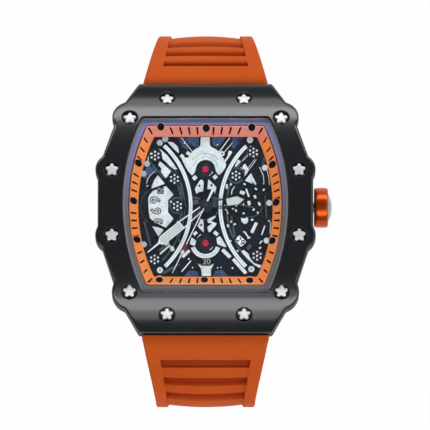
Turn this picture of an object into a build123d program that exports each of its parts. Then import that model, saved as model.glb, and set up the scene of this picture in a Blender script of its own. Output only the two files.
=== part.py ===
from build123d import *
import math
import os

# Tonneau wristwatch with its strap closed. Millimetres, +Z up through the crystal,
# +Y towards 12 o'clock, +X towards the crown. The origin is on the flat underside
# of the closed strap, straight below the middle of the dial.

# Whole watch
total_height = 64.0
seam = 0.05
overrun = 3.0

# Case in plan: a tonneau with a lobe round each side screw
case_width = 42.9
case_length = 50.9
band_inset = 0.3
outline_shares = [(0.62, 1.0), (0.751, 0.825), (0.82, 0.707), (0.844, 0.644),
                  (0.951, 0.381), (0.974, 0.275), (1.0, 0.185)]
outline_corner_r = 0.7
corner_lobe_r = 3.5
mid_lobe_r = 3.28
end_screw_shares = (0.358, 0.867)
corner_screw_shares = (0.706, 0.695)
mid_screw_shares = (0.870, 0.262)

# Case from the side: a flatter arc over the dial, tighter arcs at the two ends
top_arc_r = 55.0
top_arc_share = 0.688
end_arc_r = 25.0
bezel_thickness = 3.6
case_thickness = 13.5
back_arc_r = 70.0
back_thickness = 1.6

# Crystal, its seat, and the opening under it
crystal_half_width = 16.5
crystal_half_length = 17.76
crystal_clearance = 0.1
crystal_thickness = 1.2
crystal_setback = 0.1
crystal_gasket_thickness = 0.3
corner_share = 0.766
tonneau_corner_r = 0.7
ledge_side = 1.3
ledge_end = 1.66

# Seals between the case layers
seal_thickness = 0.5
seal_width = 0.7
seal_offset = 0.8
seal_clearance = 0.03

# Chapter ring and dial
flange_drop = 3.75
dial_drop = 5.7
dial_thickness = 0.35
flange_side_width = 1.78
flange_end_width = 1.89
flange_lip = 0.25
hour_dot_r = 0.65
hour_dot_height = 0.15
hour_count = 12
dial_clearance = 0.05

# Raised work on the dial
relief_height = 0.35
arc_r = 17.05
arc_centre_x = 20.0
arc_width = 0.75
arc_reach = 12.0
jewel_y = 7.5
jewel_r = 0.65
jewel_height = 0.45
setting_r = 1.9
setting_height = 0.3
fan_inner_r = 2.05
fan_outer_r = 4.0
fan_half_angle = 100.0
post_width = 2.0
tail_inner_r = 2.2
tail_outer_r = 2.9
tail_half_angle = 75.0
foot_width = 2.2
foot_gap = 0.4
bearing_r = 1.3
bearing_hole_r = 0.24
bearing_ring_r = 0.85
bearing_height = 0.3
bearing_points_share = [(-0.671, 0.634), (-0.408, 0.348), (-0.368, 0.0), (-0.668, -0.665),
                        (0.632, 0.683), (0.401, 0.391), (0.678, -0.621)]
plate_points_share = [(-0.625, 0.391), (-0.520, 0.280), (-0.421, 0.149), (-0.487, 0.081),
                      (-0.493, -0.068), (-0.421, -0.162), (-0.520, -0.273), (-0.638, -0.211),
                      (-0.717, -0.149), (-0.757, 0.031), (-0.743, 0.180), (-0.691, 0.348)]
stud_r = 0.65
stud_height = 0.3
stud_points_share = [(0.586, 0.842), (0.612, -0.789), (-0.612, -0.814), (-0.605, 0.808)]
date_angle = -45.0
date_radius = 9.85
date_window_width = 2.0
date_window_height = 1.8
date_frame_rim = 0.3

# Movement plate and holder
movement_half_width = 13.0
movement_half_length = 14.9
plate_thickness = 2.2
holder_thickness = 5.1
holder_clearance = 0.1
date_ring_inner_r = 8.8
date_ring_outer_r = 11.1
date_ring_thickness = 0.22
date_teeth = 31
date_tooth_depth = 0.25
ring_clearance = 0.15

# Motion works, in front of the plate
motion_pocket_depth = 1.05
motion_angle = 60.0
motion_distance = 3.0
hour_teeth = 40
minute_pinion_teeth = 10
cannon_teeth = 12
minute_teeth = 36
wheel_thickness = 0.2
wheel_gap = 0.15
tooth_addendum_share = 0.8
tooth_root_share = 1.1
running_fit = 0.03
seconds_arbor_r = 0.13
centre_pipe_wall = 0.14
cannon_wall = 0.26
hour_pipe_wall = 0.3
minute_stud_r = 0.3

# Going train, behind the plate
train_distance = 3.6
train_angle = 200.0
centre_teeth = 64
third_pinion_teeth = 8
third_teeth = 60
seconds_pinion_teeth = 8
seconds_teeth = 60
fifth_pinion_teeth = 12
fifth_distance = 3.7
fifth_angle = 320.0
fifth_teeth = 60
rotor_pinion_teeth = 10
rotor_distance = 2.45
arbor_r = 0.2
train_gap = 0.12
rotor_r = 0.7
rotor_height = 0.45
stator_thickness = 0.35
stator_bore_clearance = 0.25
stator_reach = 5.4
stator_rise = 8.2
stator_arm = 1.4
coil_r = 0.85
coil_length = 6.4
core_thickness = 0.3
bridge_thickness = 0.6
bridge_half_width = 7.2
bridge_half_length = 5.3
pillar_r = 0.8
battery_r = 4.75
battery_thickness = 2.1
battery_y = -10.12
clamp_thickness = 0.2
clamp_width = 3.4
board_thickness = 0.3
board_width = 9.0
board_length = 8.5

# Hands
hand_thickness = 0.15
hand_gap = 0.4
hour_hand_angle = 80.3
hour_hand_length = 8.1
hour_hand_width = 1.5
minute_hand_angle = 230.5
minute_hand_length = 15.0
minute_hand_width = 1.5
seconds_hand_angle = 205.5
seconds_hand_length = 15.1
seconds_hand_width = 0.3
seconds_tail_length = 3.9
seconds_tail_width = 0.5
hand_hub_wall = 0.55
cap_r = 0.6
cap_height = 0.25

# Crown and stem
stem_drop = 6.9
stem_r = 0.4
stem_inner_x = 5.0
clutch_x = 6.2
clutch_r = 0.7
clutch_length = 1.2
lever_x = 9.6
lever_width = 0.8
lever_length = 3.2
lever_thickness = 0.5
crown_travel = 1.2
crown_gap = 0.25
crown_r = 4.0
crown_length = 2.76
crown_edge_r = 0.6
crown_bore_r = 1.5
crown_bore_depth = 1.6
crown_cap_r = 2.95
crown_cap_height = 0.8
tube_r = 1.1
tube_bore_r = 0.55
tube_reach = 1.3
oring_thickness = 0.5

# Case screws
screw_recess_r = 1.55
screw_recess_depth = 1.1
screw_tip_r = 1.3
screw_valley_r = 0.8
screw_points = 5
screw_head_height = 0.8
screw_shank_r = 0.7
screw_length = 5.0
thread_clearance = 0.03
back_head_r = 1.1
back_head_height = 0.6
back_screw_length = 4.2
slot_width = 0.3
slot_depth = 0.25

# Strap route in the Y-Z plane, on its outer surface
strap_drop = 8.4
strap_gap = 0.15
strap_shoulder_run = 0.1
strap_reach = 37.6
slope_angle = 50.0
slope_share = 0.490625
slope_r = 14.0
rest_r = 14.0
six_lean = 11.0
six_corner_y = -16.5
six_corner_share = 0.421875
six_slope_r = 14.0
six_rest_r = 16.0
strap_case_thickness = 5.2
strap_side_thickness = 3.4
strap_slope_thickness = 2.8
strap_tail_thickness = 2.6
layer_gap = 0.3

# Strap width, ribs and holes
strap_case_share = 0.58275
strap_horizon_width = 19.2
strap_low_width = 18.0
strap_taper_drop = 5.0
rail_width = 2.85
rail_step = 0.3
channel_start_angle = 20.0
groove_width = 1.3
groove_depth = 0.9
groove_lengths = [17.0, 15.6, 14.6]
groove_inset = 3.2
twelve_groove_angles = [23.0, 36.0, 51.0]
six_groove_angles = [27.5, 46.0, 66.0]
hole_width = 2.4
hole_length = 5.4
hole_shift = 0.2
hole_pitch = 7.5
holes_before = 3
holes_after = 2
tail_past_bar = 20.5
tongue_depth = 4.0
tongue_floor_drop = 13.9
slot_clearance = 0.15
bar_y = 23.5
bar_drop = 12.0
bar_r = 0.75
bar_hold = 0.35
bar_screw_r = 0.35
bar_screw_depth = 2.0

# Buckle and keepers
bar_up_slope = 15.5
buckle_bar_r = 0.75
buckle_fit = 0.05
buckle_side_gap = 0.35
buckle_arm_width = 1.9
buckle_arm_thickness = 2.0
buckle_rail_r = 1.1
buckle_rail_height = 2.4
tongue_width = 1.8
tongue_thickness = 1.2
tongue_exit_back = 3.5
tongue_exit_lift = 0.9
tongue_tip_gap = 0.2
tongue_hub_r = 1.45
notch_gap = 0.4
keeper_wall = 1.2
keeper_gap = 0.3
keeper_length = 4.0
fixed_keeper_up = 5.4
sliding_keeper_up = 10.6

os.makedirs("parts", exist_ok=True)


def half_width():
    return case_width / 2


def half_length():
    return case_length / 2


def level(drop):
    return total_height - drop


def save(shape, name):
    export_step(shape, "parts/" + name + ".step")


def top_break():
    return top_arc_share * half_length()


def top_slope(y):
    """Angle in radians at which the top of the case falls away at y."""
    limit = top_break()
    reach = abs(y)
    if reach <= limit:
        return math.asin(reach / top_arc_r)
    return math.asin(limit / top_arc_r + (reach - limit) / end_arc_r)


def top_drop(y):
    """How far the top of the case lies below its middle at y."""
    limit = top_break()
    angle = top_slope(y)
    if abs(y) <= limit:
        return top_arc_r * (1 - math.cos(angle))
    turn = math.asin(limit / top_arc_r)
    return top_arc_r * (1 - math.cos(turn)) + end_arc_r * (math.cos(turn) - math.cos(angle))


def back_drop(y):
    return case_thickness + back_arc_r - math.sqrt(back_arc_r ** 2 - y ** 2)


def top_curve(offset):
    """The side line of the case top, moved down by offset, from -Y to +Y."""
    reach = half_length() + overrun / 2
    stops = [-reach, -top_break(), top_break(), reach]
    edges = []
    for low, high in zip(stops[:-1], stops[1:]):
        places = (low, (low + high) / 2, high)
        points = [(y, level(top_drop(y) + offset)) for y in places]
        edges.append(ThreePointArc(*points))
    return edges


def back_curve(offset):
    """The side line of the case back, moved up by offset, from -Y to +Y."""
    reach = half_length() + overrun / 2
    points = [(y, level(back_drop(y) - offset)) for y in (-reach, 0, reach)]
    return [ThreePointArc(*points)]


def slab(upper, lower):
    """Solid between two side lines, right across the watch."""
    ends = [Line(upper[0] @ 0, lower[0] @ 0), Line(upper[-1] @ 1, lower[-1] @ 1)]
    face = make_face(upper + lower + ends)
    return extrude(Plane.YZ * face, amount=case_width, both=True)


def top_layer(upper, lower):
    return slab(top_curve(upper), top_curve(lower))


def mirrored(point):
    x, y = point
    return [(x, y), (-x, y), (-x, -y), (x, -y)]


def case_outline(inset):
    """Outline of the case seen from above, with its four corner and four side lobes."""
    quarter = [(sx * half_width() - inset, sy * half_length() - inset) for sx, sy in outline_shares]
    loop = list(quarter)
    loop += [(x, -y) for x, y in reversed(quarter)]
    loop += [(-x, -y) for x, y in quarter]
    loop += [(-x, y) for x, y in reversed(quarter)]
    face = make_face(Polyline(*loop, close=True))
    corners = []
    for vertex in face.vertices():
        if abs(vertex.Y) > top_break():
            corners.append(vertex)
    face = fillet(corners, radius=outline_corner_r)
    for shares, radius in ((corner_screw_shares, corner_lobe_r), (mid_screw_shares, mid_lobe_r)):
        for x, y in mirrored((shares[0] * half_width(), shares[1] * half_length())):
            face += Pos(x, y) * Circle(radius - inset)
    return face


def tonneau(side, end, radius=tonneau_corner_r):
    """Barrel outline: bowed sides, straight ends, rounded corners."""
    corner = side * corner_share
    edges = [ThreePointArc((corner, -end), (side, 0), (corner, end)),
             Line((corner, end), (-corner, end)),
             ThreePointArc((-corner, end), (-side, 0), (-corner, -end)),
             Line((-corner, -end), (corner, -end))]
    face = make_face(edges)
    return fillet(face.vertices(), radius=radius)


def tonneau_point(side, end, angle):
    """Point and inward direction of the barrel outline at an hour angle in degrees."""
    turn = math.radians(angle)
    ray_x = math.sin(turn)
    ray_y = math.cos(turn)
    corner = side * corner_share
    if abs(ray_x) * end <= corner * abs(ray_y):
        scale = end / abs(ray_y)
        return ray_x * scale, ray_y * scale, (0, -math.copysign(1, ray_y))
    bow = side - corner
    radius = (bow ** 2 + end ** 2) / (2 * bow)
    centre = math.copysign(1, ray_x) * (side - radius)
    along = ray_x * centre
    scale = along + math.sqrt(along ** 2 - centre ** 2 + radius ** 2)
    x = ray_x * scale
    y = ray_y * scale
    return x, y, ((centre - x) / radius, -y / radius)


def prism(face, high, low):
    """A face carried from one depth below the top to another."""
    return extrude(Pos(0, 0, level(low)) * face, amount=low - high)


def opening_sizes():
    side = crystal_half_width + crystal_clearance - ledge_side
    end = crystal_half_length + crystal_clearance - ledge_end
    return side, end


def flange_sizes():
    side, end = opening_sizes()
    return side - dial_clearance * 2, end - dial_clearance * 2


def dial_sizes():
    side, end = flange_sizes()
    return side - flange_side_width, end - flange_end_width


def screw_places():
    """Seat of each bezel screw, with its Z axis square to the case top."""
    places = []
    for shares in (end_screw_shares, corner_screw_shares, mid_screw_shares):
        for x, y in mirrored((shares[0] * half_width(), shares[1] * half_length())):
            tilt = -math.copysign(math.degrees(top_slope(y)), y)
            places.append(Pos(x, y, level(top_drop(y))) * Rot(X=tilt))
    return places


def back_screw_places():
    places = []
    for shares in (corner_screw_shares, mid_screw_shares):
        for x, y in mirrored((shares[0] * half_width(), shares[1] * half_length())):
            places.append(Pos(x, y, level(back_drop(y))))
    return places


def shank(radius, low, high):
    """Round bar along Z from low to high."""
    return Pos(0, 0, (low + high) / 2) * Cylinder(radius, high - low)


def bezel():
    body = extrude(Pos(0, 0, level(case_thickness)) * case_outline(0), amount=case_thickness + overrun)
    body &= top_layer(0, bezel_thickness)
    seat = crystal_setback + crystal_thickness + crystal_gasket_thickness
    upper = tonneau(crystal_half_width + crystal_clearance, crystal_half_length + crystal_clearance)
    body -= prism(upper, -overrun, case_thickness) & top_layer(-overrun, seat)
    body -= prism(tonneau(*opening_sizes()), -overrun, case_thickness)
    for place in screw_places():
        body -= place * shank(screw_recess_r, -screw_recess_depth, overrun)
        body -= place * shank(screw_shank_r + thread_clearance, -screw_length * 2, overrun)
    return body


def crystal():
    body = prism(tonneau(crystal_half_width, crystal_half_length), -overrun, case_thickness)
    return body & top_layer(crystal_setback, crystal_setback + crystal_thickness)


def crystal_gasket():
    side, end = opening_sizes()
    ring = prism(tonneau(crystal_half_width, crystal_half_length), -overrun, case_thickness)
    ring -= prism(tonneau(side + dial_clearance, end + dial_clearance), -overrun, case_thickness)
    high = crystal_setback + crystal_thickness
    return ring & top_layer(high, high + crystal_gasket_thickness)


def seal_ring(spare):
    """Ring prism that follows the case cavity, wider by spare on both sides."""
    side, end = opening_sizes()
    inner = seal_offset - spare
    outer = seal_offset + seal_width + spare
    ring = prism(tonneau(side + outer, end + outer), -overrun, case_thickness * 2)
    return ring - prism(tonneau(side + inner, end + inner), -overrun, case_thickness * 2)


def band_top():
    return bezel_thickness + seam


def band_bottom():
    return back_thickness + seam


def bezel_gasket():
    return seal_ring(0) & top_layer(band_top(), band_top() + seal_thickness)


def back_gasket():
    return seal_ring(0) & slab(back_curve(band_bottom() + seal_thickness), back_curve(band_bottom()))


def stem_axis(x):
    """Location on the stem's axis at x, with its Z axis along +X."""
    return Pos(x, 0, level(stem_drop)) * Rot(Y=90)


def tongue_block(side, length, high, low):
    """Block at the 12 o'clock end from the case end inwards."""
    outer = half_length() + strap_gap
    middle = outer - length / 2
    block = Box(side * 2, length, low - high)
    return Pos(0, middle, level((low + high) / 2)) * block


def strap_case_width():
    return strap_case_share * case_width


def bar_end_x():
    """Where the strap bars end, just inside the case's side walls."""
    return strap_case_width() / 2 + slot_clearance + bar_hold


def strap_slot():
    side = strap_case_width() / 2 + slot_clearance
    low = tongue_floor_drop + slot_clearance
    return tongue_block(side, tongue_depth + strap_gap + slot_clearance, 0, low)


def both_ends(shape):
    return [shape, Rot(Z=180) * shape]


def case_band():
    body = extrude(Pos(0, 0, level(case_thickness * 2)) * case_outline(band_inset), amount=case_thickness * 2)
    body &= slab(top_curve(band_top()), back_curve(band_bottom()))
    body -= prism(tonneau(*opening_sizes()), -overrun, case_thickness * 2)
    upper = band_top() + seal_thickness
    body -= seal_ring(seal_clearance) & top_layer(0, upper)
    lower = band_bottom() + seal_thickness
    body -= seal_ring(seal_clearance) & slab(back_curve(lower), back_curve(-overrun))
    for slot in both_ends(strap_slot()):
        body -= slot
    for place in screw_places():
        body -= place * shank(screw_shank_r + thread_clearance, -screw_length - overrun / 2, overrun)
    for place in back_screw_places():
        body -= place * shank(screw_shank_r + thread_clearance, -overrun, back_screw_length + seam)
    for place in bar_places():
        body -= place * Cylinder(bar_r + running_fit, case_width)
    body -= stem_axis(half_width()) * Cylinder(tube_r + thread_clearance, case_width / 2)
    return body


def case_back():
    body = extrude(Pos(0, 0, level(case_thickness * 2)) * case_outline(band_inset), amount=case_thickness * 2)
    body &= slab(back_curve(back_thickness), back_curve(0))
    for place in back_screw_places():
        body -= place * shank(back_head_r + thread_clearance, -overrun, back_head_height)
        body -= place * shank(screw_shank_r + thread_clearance, -overrun, back_screw_length)
    return body


def star():
    """Rounded five-pointed star of the screw heads, one point towards +Y."""
    points = []
    for step in range(screw_points * 2):
        radius = screw_tip_r if step % 2 == 0 else screw_valley_r
        turn = math.pi * step / screw_points
        points.append((-radius * math.sin(turn), radius * math.cos(turn)))
    face = make_face(Polyline(*points, close=True))
    return fillet(face.vertices(), radius=screw_tip_r / 8)


def bezel_screws():
    floor = -screw_recess_depth
    screw = extrude(Pos(0, 0, floor) * star(), amount=screw_head_height)
    screw += shank(screw_shank_r, floor - screw_length + screw_head_height, floor)
    return Compound(children=[place * screw for place in screw_places()])


def case_back_screws():
    screw = shank(back_head_r, slot_depth, back_head_height)
    screw -= Pos(0, 0, slot_depth) * Box(back_head_r * 2 + overrun, slot_width, slot_depth * 2)
    screw += shank(screw_shank_r, back_head_height, back_screw_length)
    return Compound(children=[place * screw for place in back_screw_places()])


def crown_tube():
    outer = half_width() + tube_reach
    inner = opening_sizes()[0] + dial_clearance
    tube = Cylinder(tube_r, outer - inner) - Cylinder(tube_bore_r, case_width)
    return stem_axis((outer + inner) / 2) * tube


def plate_top():
    return dial_drop + dial_thickness + dial_clearance


def plate_bottom():
    return plate_top() + plate_thickness


def movement_holder():
    side, end = opening_sizes()
    ring = tonneau(side - holder_clearance, end - holder_clearance)
    core = tonneau(movement_half_width + holder_clearance, movement_half_length + holder_clearance)
    body = prism(ring - core, plate_top(), plate_top() + holder_thickness)
    return body - stem_axis(half_width()) * Cylinder(tube_bore_r, case_width / 2 + overrun * 2)


def flange_ring():
    side, end = flange_sizes()
    low_side, low_end = dial_sizes()
    body = prism(tonneau(side, end), flange_drop, dial_drop)
    upper = Pos(0, 0, level(flange_drop)) * tonneau(side - flange_lip, end - flange_lip)
    lower = Pos(0, 0, level(dial_drop)) * tonneau(low_side, low_end)
    return body - loft([lower.face(), upper.face()], ruled=True)


def flange_spot(angle):
    """Seat on the middle of the sloping chapter ring at an hour angle."""
    side, end = flange_sizes()
    inset_side = (flange_side_width + flange_lip) / 2
    inset_end = (flange_end_width + flange_lip) / 2
    x, y, inward = tonneau_point(side - inset_side, end - inset_end, angle)
    run = flange_side_width - flange_lip
    rise = dial_drop - flange_drop
    middle = level((flange_drop + dial_drop) / 2)
    normal = (inward[0] * rise, inward[1] * rise, run)
    return Plane(origin=(x, y, middle), z_dir=normal)


def hour_dots():
    dots = []
    for hour in range(hour_count):
        spot = flange_spot(360 * hour / hour_count)
        lift = seam + hour_dot_height / 2
        dots.append(spot * Pos(0, 0, lift) * Cylinder(hour_dot_r, hour_dot_height))
    return Compound(children=dots)


def dial_plate():
    body = prism(tonneau(*flange_sizes()), dial_drop, dial_drop + dial_thickness)
    body -= Pos(0, 0, level(dial_drop)) * Cylinder(hour_pipe_r() + dial_clearance * 2, overrun)
    window = Box(date_window_width, date_window_height, overrun)
    return body - date_spot(dial_drop) * window


def date_spot(drop):
    """The date window's place, turned to lie along the radius."""
    turn = math.radians(date_angle)
    place = Pos(date_radius * math.cos(turn), date_radius * math.sin(turn), level(drop))
    return place * Rot(Z=date_angle)


def relief(face, height=relief_height):
    """Raised work standing on the dial."""
    return prism(face, dial_drop - height, dial_drop)


def arc_bridge(sign):
    ring = Circle(arc_r + arc_width / 2) - Circle(arc_r - arc_width / 2)
    strip = Rectangle(arc_centre_x * 2, arc_reach * 2)
    return relief((Pos(sign * arc_centre_x, 0) * ring) & strip)


def sector(inner_r, outer_r, half_angle, middle):
    """Part of a flat ring, half_angle degrees each way from the middle direction."""
    turns = [math.radians(middle + half_angle * step) for step in (-1, 0, 1)]
    outer = [(outer_r * math.cos(turn), outer_r * math.sin(turn)) for turn in turns]
    inner = [(inner_r * math.cos(turn), inner_r * math.sin(turn)) for turn in turns]
    edges = [ThreePointArc(*outer), ThreePointArc(*inner),
             Line(outer[0], inner[0]), Line(outer[2], inner[2])]
    return make_face(edges)


def upper_bridge():
    end = dial_sizes()[1] - dial_clearance
    fan = Pos(0, jewel_y) * sector(fan_inner_r, fan_outer_r, fan_half_angle, 90)
    start = jewel_y + fan_inner_r + jewel_r
    post = Pos(0, (start + end) / 2) * Rectangle(post_width, end - start)
    return relief(fan + post)


def lower_bridge():
    end = dial_sizes()[1] - dial_clearance
    tail = Pos(0, -jewel_y) * sector(tail_inner_r, tail_outer_r, tail_half_angle, -90)
    start = jewel_y + tail_inner_r + jewel_r / 2
    foot = Pos(0, -(start + end) / 2) * Rectangle(foot_width, end - start)
    return relief(tail + foot)


def pair(shape):
    return Compound(children=both_ends(shape))


def jewel_settings():
    ring = Circle(setting_r) - Circle(jewel_r + running_fit)
    return pair(relief(Pos(0, jewel_y) * ring, setting_height))


def jewels():
    body = Pos(0, jewel_y, level(dial_drop - jewel_height / 2)) * Cylinder(jewel_r, jewel_height)
    top = body.faces().sort_by(Axis.Z)[-1]
    return pair(fillet(top.edges(), radius=jewel_height / 3))


def on_dial(shares):
    side, end = flange_sizes()
    return shares[0] * side, shares[1] * end


def dial_bearings():
    disc = Circle(bearing_r)
    holes = 7
    for step in range(holes - 1):
        turn = 2 * math.pi * step / (holes - 1)
        disc -= Pos(bearing_ring_r * math.cos(turn), bearing_ring_r * math.sin(turn)) * Circle(bearing_hole_r)
    solids = []
    for shares in bearing_points_share:
        solids.append(relief(Pos(*on_dial(shares)) * disc, bearing_height))
    return Compound(children=solids)


def number_plate():
    points = [on_dial(shares) for shares in plate_points_share]
    return relief(make_face(Polyline(*points, close=True)))


def dial_studs():
    solids = [relief(Pos(*on_dial(shares)) * Circle(stud_r), stud_height) for shares in stud_points_share]
    return Compound(children=solids)


def date_window_frame():
    rim = date_frame_rim * 2
    frame = Box(date_window_width + rim, date_window_height + rim, stud_height)
    frame -= Box(date_window_width, date_window_height, overrun)
    return date_spot(dial_drop - stud_height / 2) * frame


def date_ring():
    """Date disc with a tooth for each day of a month on its inner edge."""
    face = Circle(date_ring_outer_r) - Circle(date_ring_inner_r)
    notch_r = math.pi * date_ring_inner_r / date_teeth / 2
    for step in range(date_teeth):
        turn = 2 * math.pi * step / date_teeth
        place = Pos(date_ring_inner_r * math.cos(turn), date_ring_inner_r * math.sin(turn))
        face -= place * Circle(min(notch_r, date_tooth_depth))
    high = plate_top() + dial_clearance
    return prism(face, high, high + date_ring_thickness)


def gear_face(teeth, radius, phase):
    """Toothed wheel of a pitch radius, with a tooth centred on phase in degrees."""
    module = radius * 2 / teeth
    tip = radius + module * tooth_addendum_share
    root = radius - module * tooth_root_share
    shape_shares = [(-0.30, root), (-0.11, tip), (0.11, tip), (0.30, root)]
    points = []
    for tooth in range(teeth):
        for share, at in shape_shares:
            turn = math.radians(phase + 360 * (tooth + share) / teeth)
            points.append((at * math.cos(turn), at * math.sin(turn)))
    return make_face(Polyline(*points, close=True))


def polar(distance, angle):
    turn = math.radians(angle)
    return distance * math.cos(turn), distance * math.sin(turn)


def pitch(teeth, other, distance):
    """Pitch radius of a wheel that meshes with another at a centre distance."""
    return distance * teeth / (teeth + other)


def disc(face, drop, thickness=wheel_thickness):
    return prism(face, drop, drop + thickness)


def rod(radius, high, low, at=(0, 0)):
    """Round rod along Z between two depths below the top."""
    return Pos(at[0], at[1], level((high + low) / 2)) * Cylinder(radius, low - high)


def centre_bore_r():
    return seconds_arbor_r + running_fit


def centre_pipe_r():
    return centre_bore_r() + centre_pipe_wall


def cannon_r():
    return centre_pipe_r() + running_fit + cannon_wall


def hour_pipe_r():
    return cannon_r() + running_fit + hour_pipe_wall


def hour_wheel_drop():
    return plate_top() + motion_pocket_depth - wheel_gap * 2 - wheel_thickness * 2 - dial_clearance


def minute_wheel_drop():
    return hour_wheel_drop() + wheel_thickness + wheel_gap


def seconds_hand_drop():
    return flange_drop + dial_clearance


def minute_hand_drop():
    return seconds_hand_drop() + hand_thickness + hand_gap


def hour_hand_drop():
    return minute_hand_drop() + hand_thickness + hand_gap


def hour_wheel():
    radius = pitch(hour_teeth, minute_pinion_teeth, motion_distance)
    high = hour_wheel_drop()
    body = disc(gear_face(hour_teeth, radius, motion_angle), high)
    body += rod(hour_pipe_r(), hour_hand_drop(), high + wheel_thickness)
    return body - rod(cannon_r() + running_fit, 0, case_thickness)


def cannon_pinion():
    radius = pitch(cannon_teeth, minute_teeth, motion_distance)
    high = minute_wheel_drop()
    body = disc(gear_face(cannon_teeth, radius, motion_angle), high)
    body += rod(cannon_r(), minute_hand_drop(), high + wheel_thickness)
    return body - rod(centre_pipe_r() + running_fit, 0, case_thickness)


def minute_wheel():
    at = polar(motion_distance, motion_angle)
    facing = motion_angle + 180
    wheel_r = pitch(minute_teeth, cannon_teeth, motion_distance)
    pinion_r = pitch(minute_pinion_teeth, hour_teeth, motion_distance)
    wheel = gear_face(minute_teeth, wheel_r, facing + 180 / minute_teeth)
    pinion = gear_face(minute_pinion_teeth, pinion_r, facing + 180 / minute_pinion_teeth)
    body = disc(Pos(*at) * wheel, minute_wheel_drop())
    body += disc(Pos(*at) * pinion, hour_wheel_drop(), wheel_thickness + wheel_gap)
    return body - rod(minute_stud_r + running_fit, 0, case_thickness, at)


def train_drop(step):
    """Depth of a level of the going train, counted from the back of the plate."""
    return plate_bottom() + train_gap + step * (wheel_thickness + train_gap)


def bridge_top():
    return train_drop(5)


def centre_wheel():
    radius = pitch(centre_teeth, third_pinion_teeth, train_distance)
    body = disc(gear_face(centre_teeth, radius, train_angle), train_drop(0))
    body += rod(centre_pipe_r(), minute_hand_drop() + dial_clearance, train_drop(0) + wheel_thickness)
    return body - rod(centre_bore_r(), 0, case_thickness)


def third_wheel():
    at = polar(train_distance, train_angle)
    facing = train_angle + 180
    pinion_r = pitch(third_pinion_teeth, centre_teeth, train_distance)
    wheel_r = pitch(third_teeth, seconds_pinion_teeth, train_distance)
    pinion = gear_face(third_pinion_teeth, pinion_r, facing + 180 / third_pinion_teeth)
    wheel = gear_face(third_teeth, wheel_r, facing + 180 / third_teeth)
    body = disc(Pos(*at) * pinion, train_drop(0), wheel_thickness + train_gap)
    body += disc(Pos(*at) * wheel, train_drop(1))
    body += rod(arbor_r, plate_bottom() - bridge_thickness, bridge_top() + bridge_thickness, at)
    return body


def seconds_wheel():
    pinion_r = pitch(seconds_pinion_teeth, third_teeth, train_distance)
    wheel_r = pitch(seconds_teeth, fifth_pinion_teeth, fifth_distance)
    body = disc(gear_face(seconds_pinion_teeth, pinion_r, train_angle), train_drop(1), wheel_thickness + train_gap)
    body += disc(gear_face(seconds_teeth, wheel_r, fifth_angle), train_drop(2))
    body += rod(seconds_arbor_r, seconds_hand_drop(), bridge_top() + bridge_thickness)
    return body


def fifth_wheel():
    at = polar(fifth_distance, fifth_angle)
    facing = fifth_angle + 180
    pinion_r = pitch(fifth_pinion_teeth, seconds_teeth, fifth_distance)
    wheel_r = pitch(fifth_teeth, rotor_pinion_teeth, rotor_distance)
    pinion = gear_face(fifth_pinion_teeth, pinion_r, facing + 180 / fifth_pinion_teeth)
    body = disc(Pos(*at) * pinion, train_drop(2), wheel_thickness + train_gap * 2)
    body += disc(Pos(*at) * gear_face(fifth_teeth, wheel_r, 0), train_drop(3) + train_gap / 2)
    body += rod(arbor_r, plate_bottom() - bridge_thickness, bridge_top() + bridge_thickness, at)
    return body


def rotor_at():
    x, y = polar(fifth_distance, fifth_angle)
    return x + rotor_distance, y


def motor_rotor():
    at = rotor_at()
    pinion_r = pitch(rotor_pinion_teeth, fifth_teeth, rotor_distance)
    pinion = gear_face(rotor_pinion_teeth, pinion_r, 180 + 180 / rotor_pinion_teeth)
    body = disc(Pos(*at) * pinion, train_drop(3))
    body += rod(rotor_r, train_drop(1), train_drop(1) + rotor_height, at)
    body += rod(arbor_r, plate_bottom() - bridge_thickness, bridge_top() + bridge_thickness, at)
    return body


def stator():
    """Flat iron loop from the rotor's bore round to the two ends of the coil's core."""
    x, y = rotor_at()
    reach = Pos(x + stator_reach / 2, y + stator_rise / 2)
    loop = Rectangle(stator_reach + stator_arm * 2, stator_rise + stator_arm * 2)
    loop -= Rectangle(stator_reach - stator_arm, stator_rise - stator_arm)
    plate = reach * loop
    side_gap = Rectangle(stator_arm * 3, coil_length)
    plate -= Pos(x + stator_reach + stator_arm / 2, y + stator_rise / 2) * side_gap
    plate -= Pos(x, y) * Circle(rotor_r + stator_bore_clearance)
    return disc(plate, train_drop(1), stator_thickness)


def coil_at():
    x, y = rotor_at()
    return x + stator_reach + stator_arm / 2, y + stator_rise / 2


def coil_level():
    return train_drop(1) + stator_thickness + core_thickness / 2


def coil():
    """Copper winding on its iron core."""
    x, y = coil_at()
    length = coil_length - train_gap * 2
    body = Pos(x, y, level(coil_level())) * Rot(X=90) * Cylinder(coil_r, length)
    core = Box(stator_arm, stator_rise + stator_arm, core_thickness)
    return body + Pos(x, y, level(coil_level())) * core


def main_plate():
    body = prism(tonneau(movement_half_width, movement_half_length), plate_top(), plate_bottom())
    ring = Circle(date_ring_outer_r + ring_clearance) - Circle(date_ring_inner_r - ring_clearance * 2)
    body -= prism(ring, plate_top() - overrun, plate_top() + date_ring_thickness + dial_clearance * 2)
    wheel_r = pitch(hour_teeth, minute_pinion_teeth, motion_distance) + wheel_gap * 2
    other_r = pitch(minute_teeth, cannon_teeth, motion_distance) + wheel_gap * 2
    at = polar(motion_distance, motion_angle)
    floor = plate_top() + motion_pocket_depth
    body -= rod(wheel_r, plate_top() - overrun, floor)
    body -= rod(other_r, plate_top() - overrun, floor, at)
    body += rod(minute_stud_r, hour_wheel_drop(), floor + dial_clearance, at)
    body -= rod(centre_pipe_r() + running_fit, 0, case_thickness)
    train = (polar(train_distance, train_angle), polar(fifth_distance, fifth_angle), rotor_at())
    for place in train:
        body -= rod(arbor_r + running_fit, plate_bottom() - bridge_thickness - train_gap, case_thickness, place)
    return body - keyless_pocket()


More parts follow.
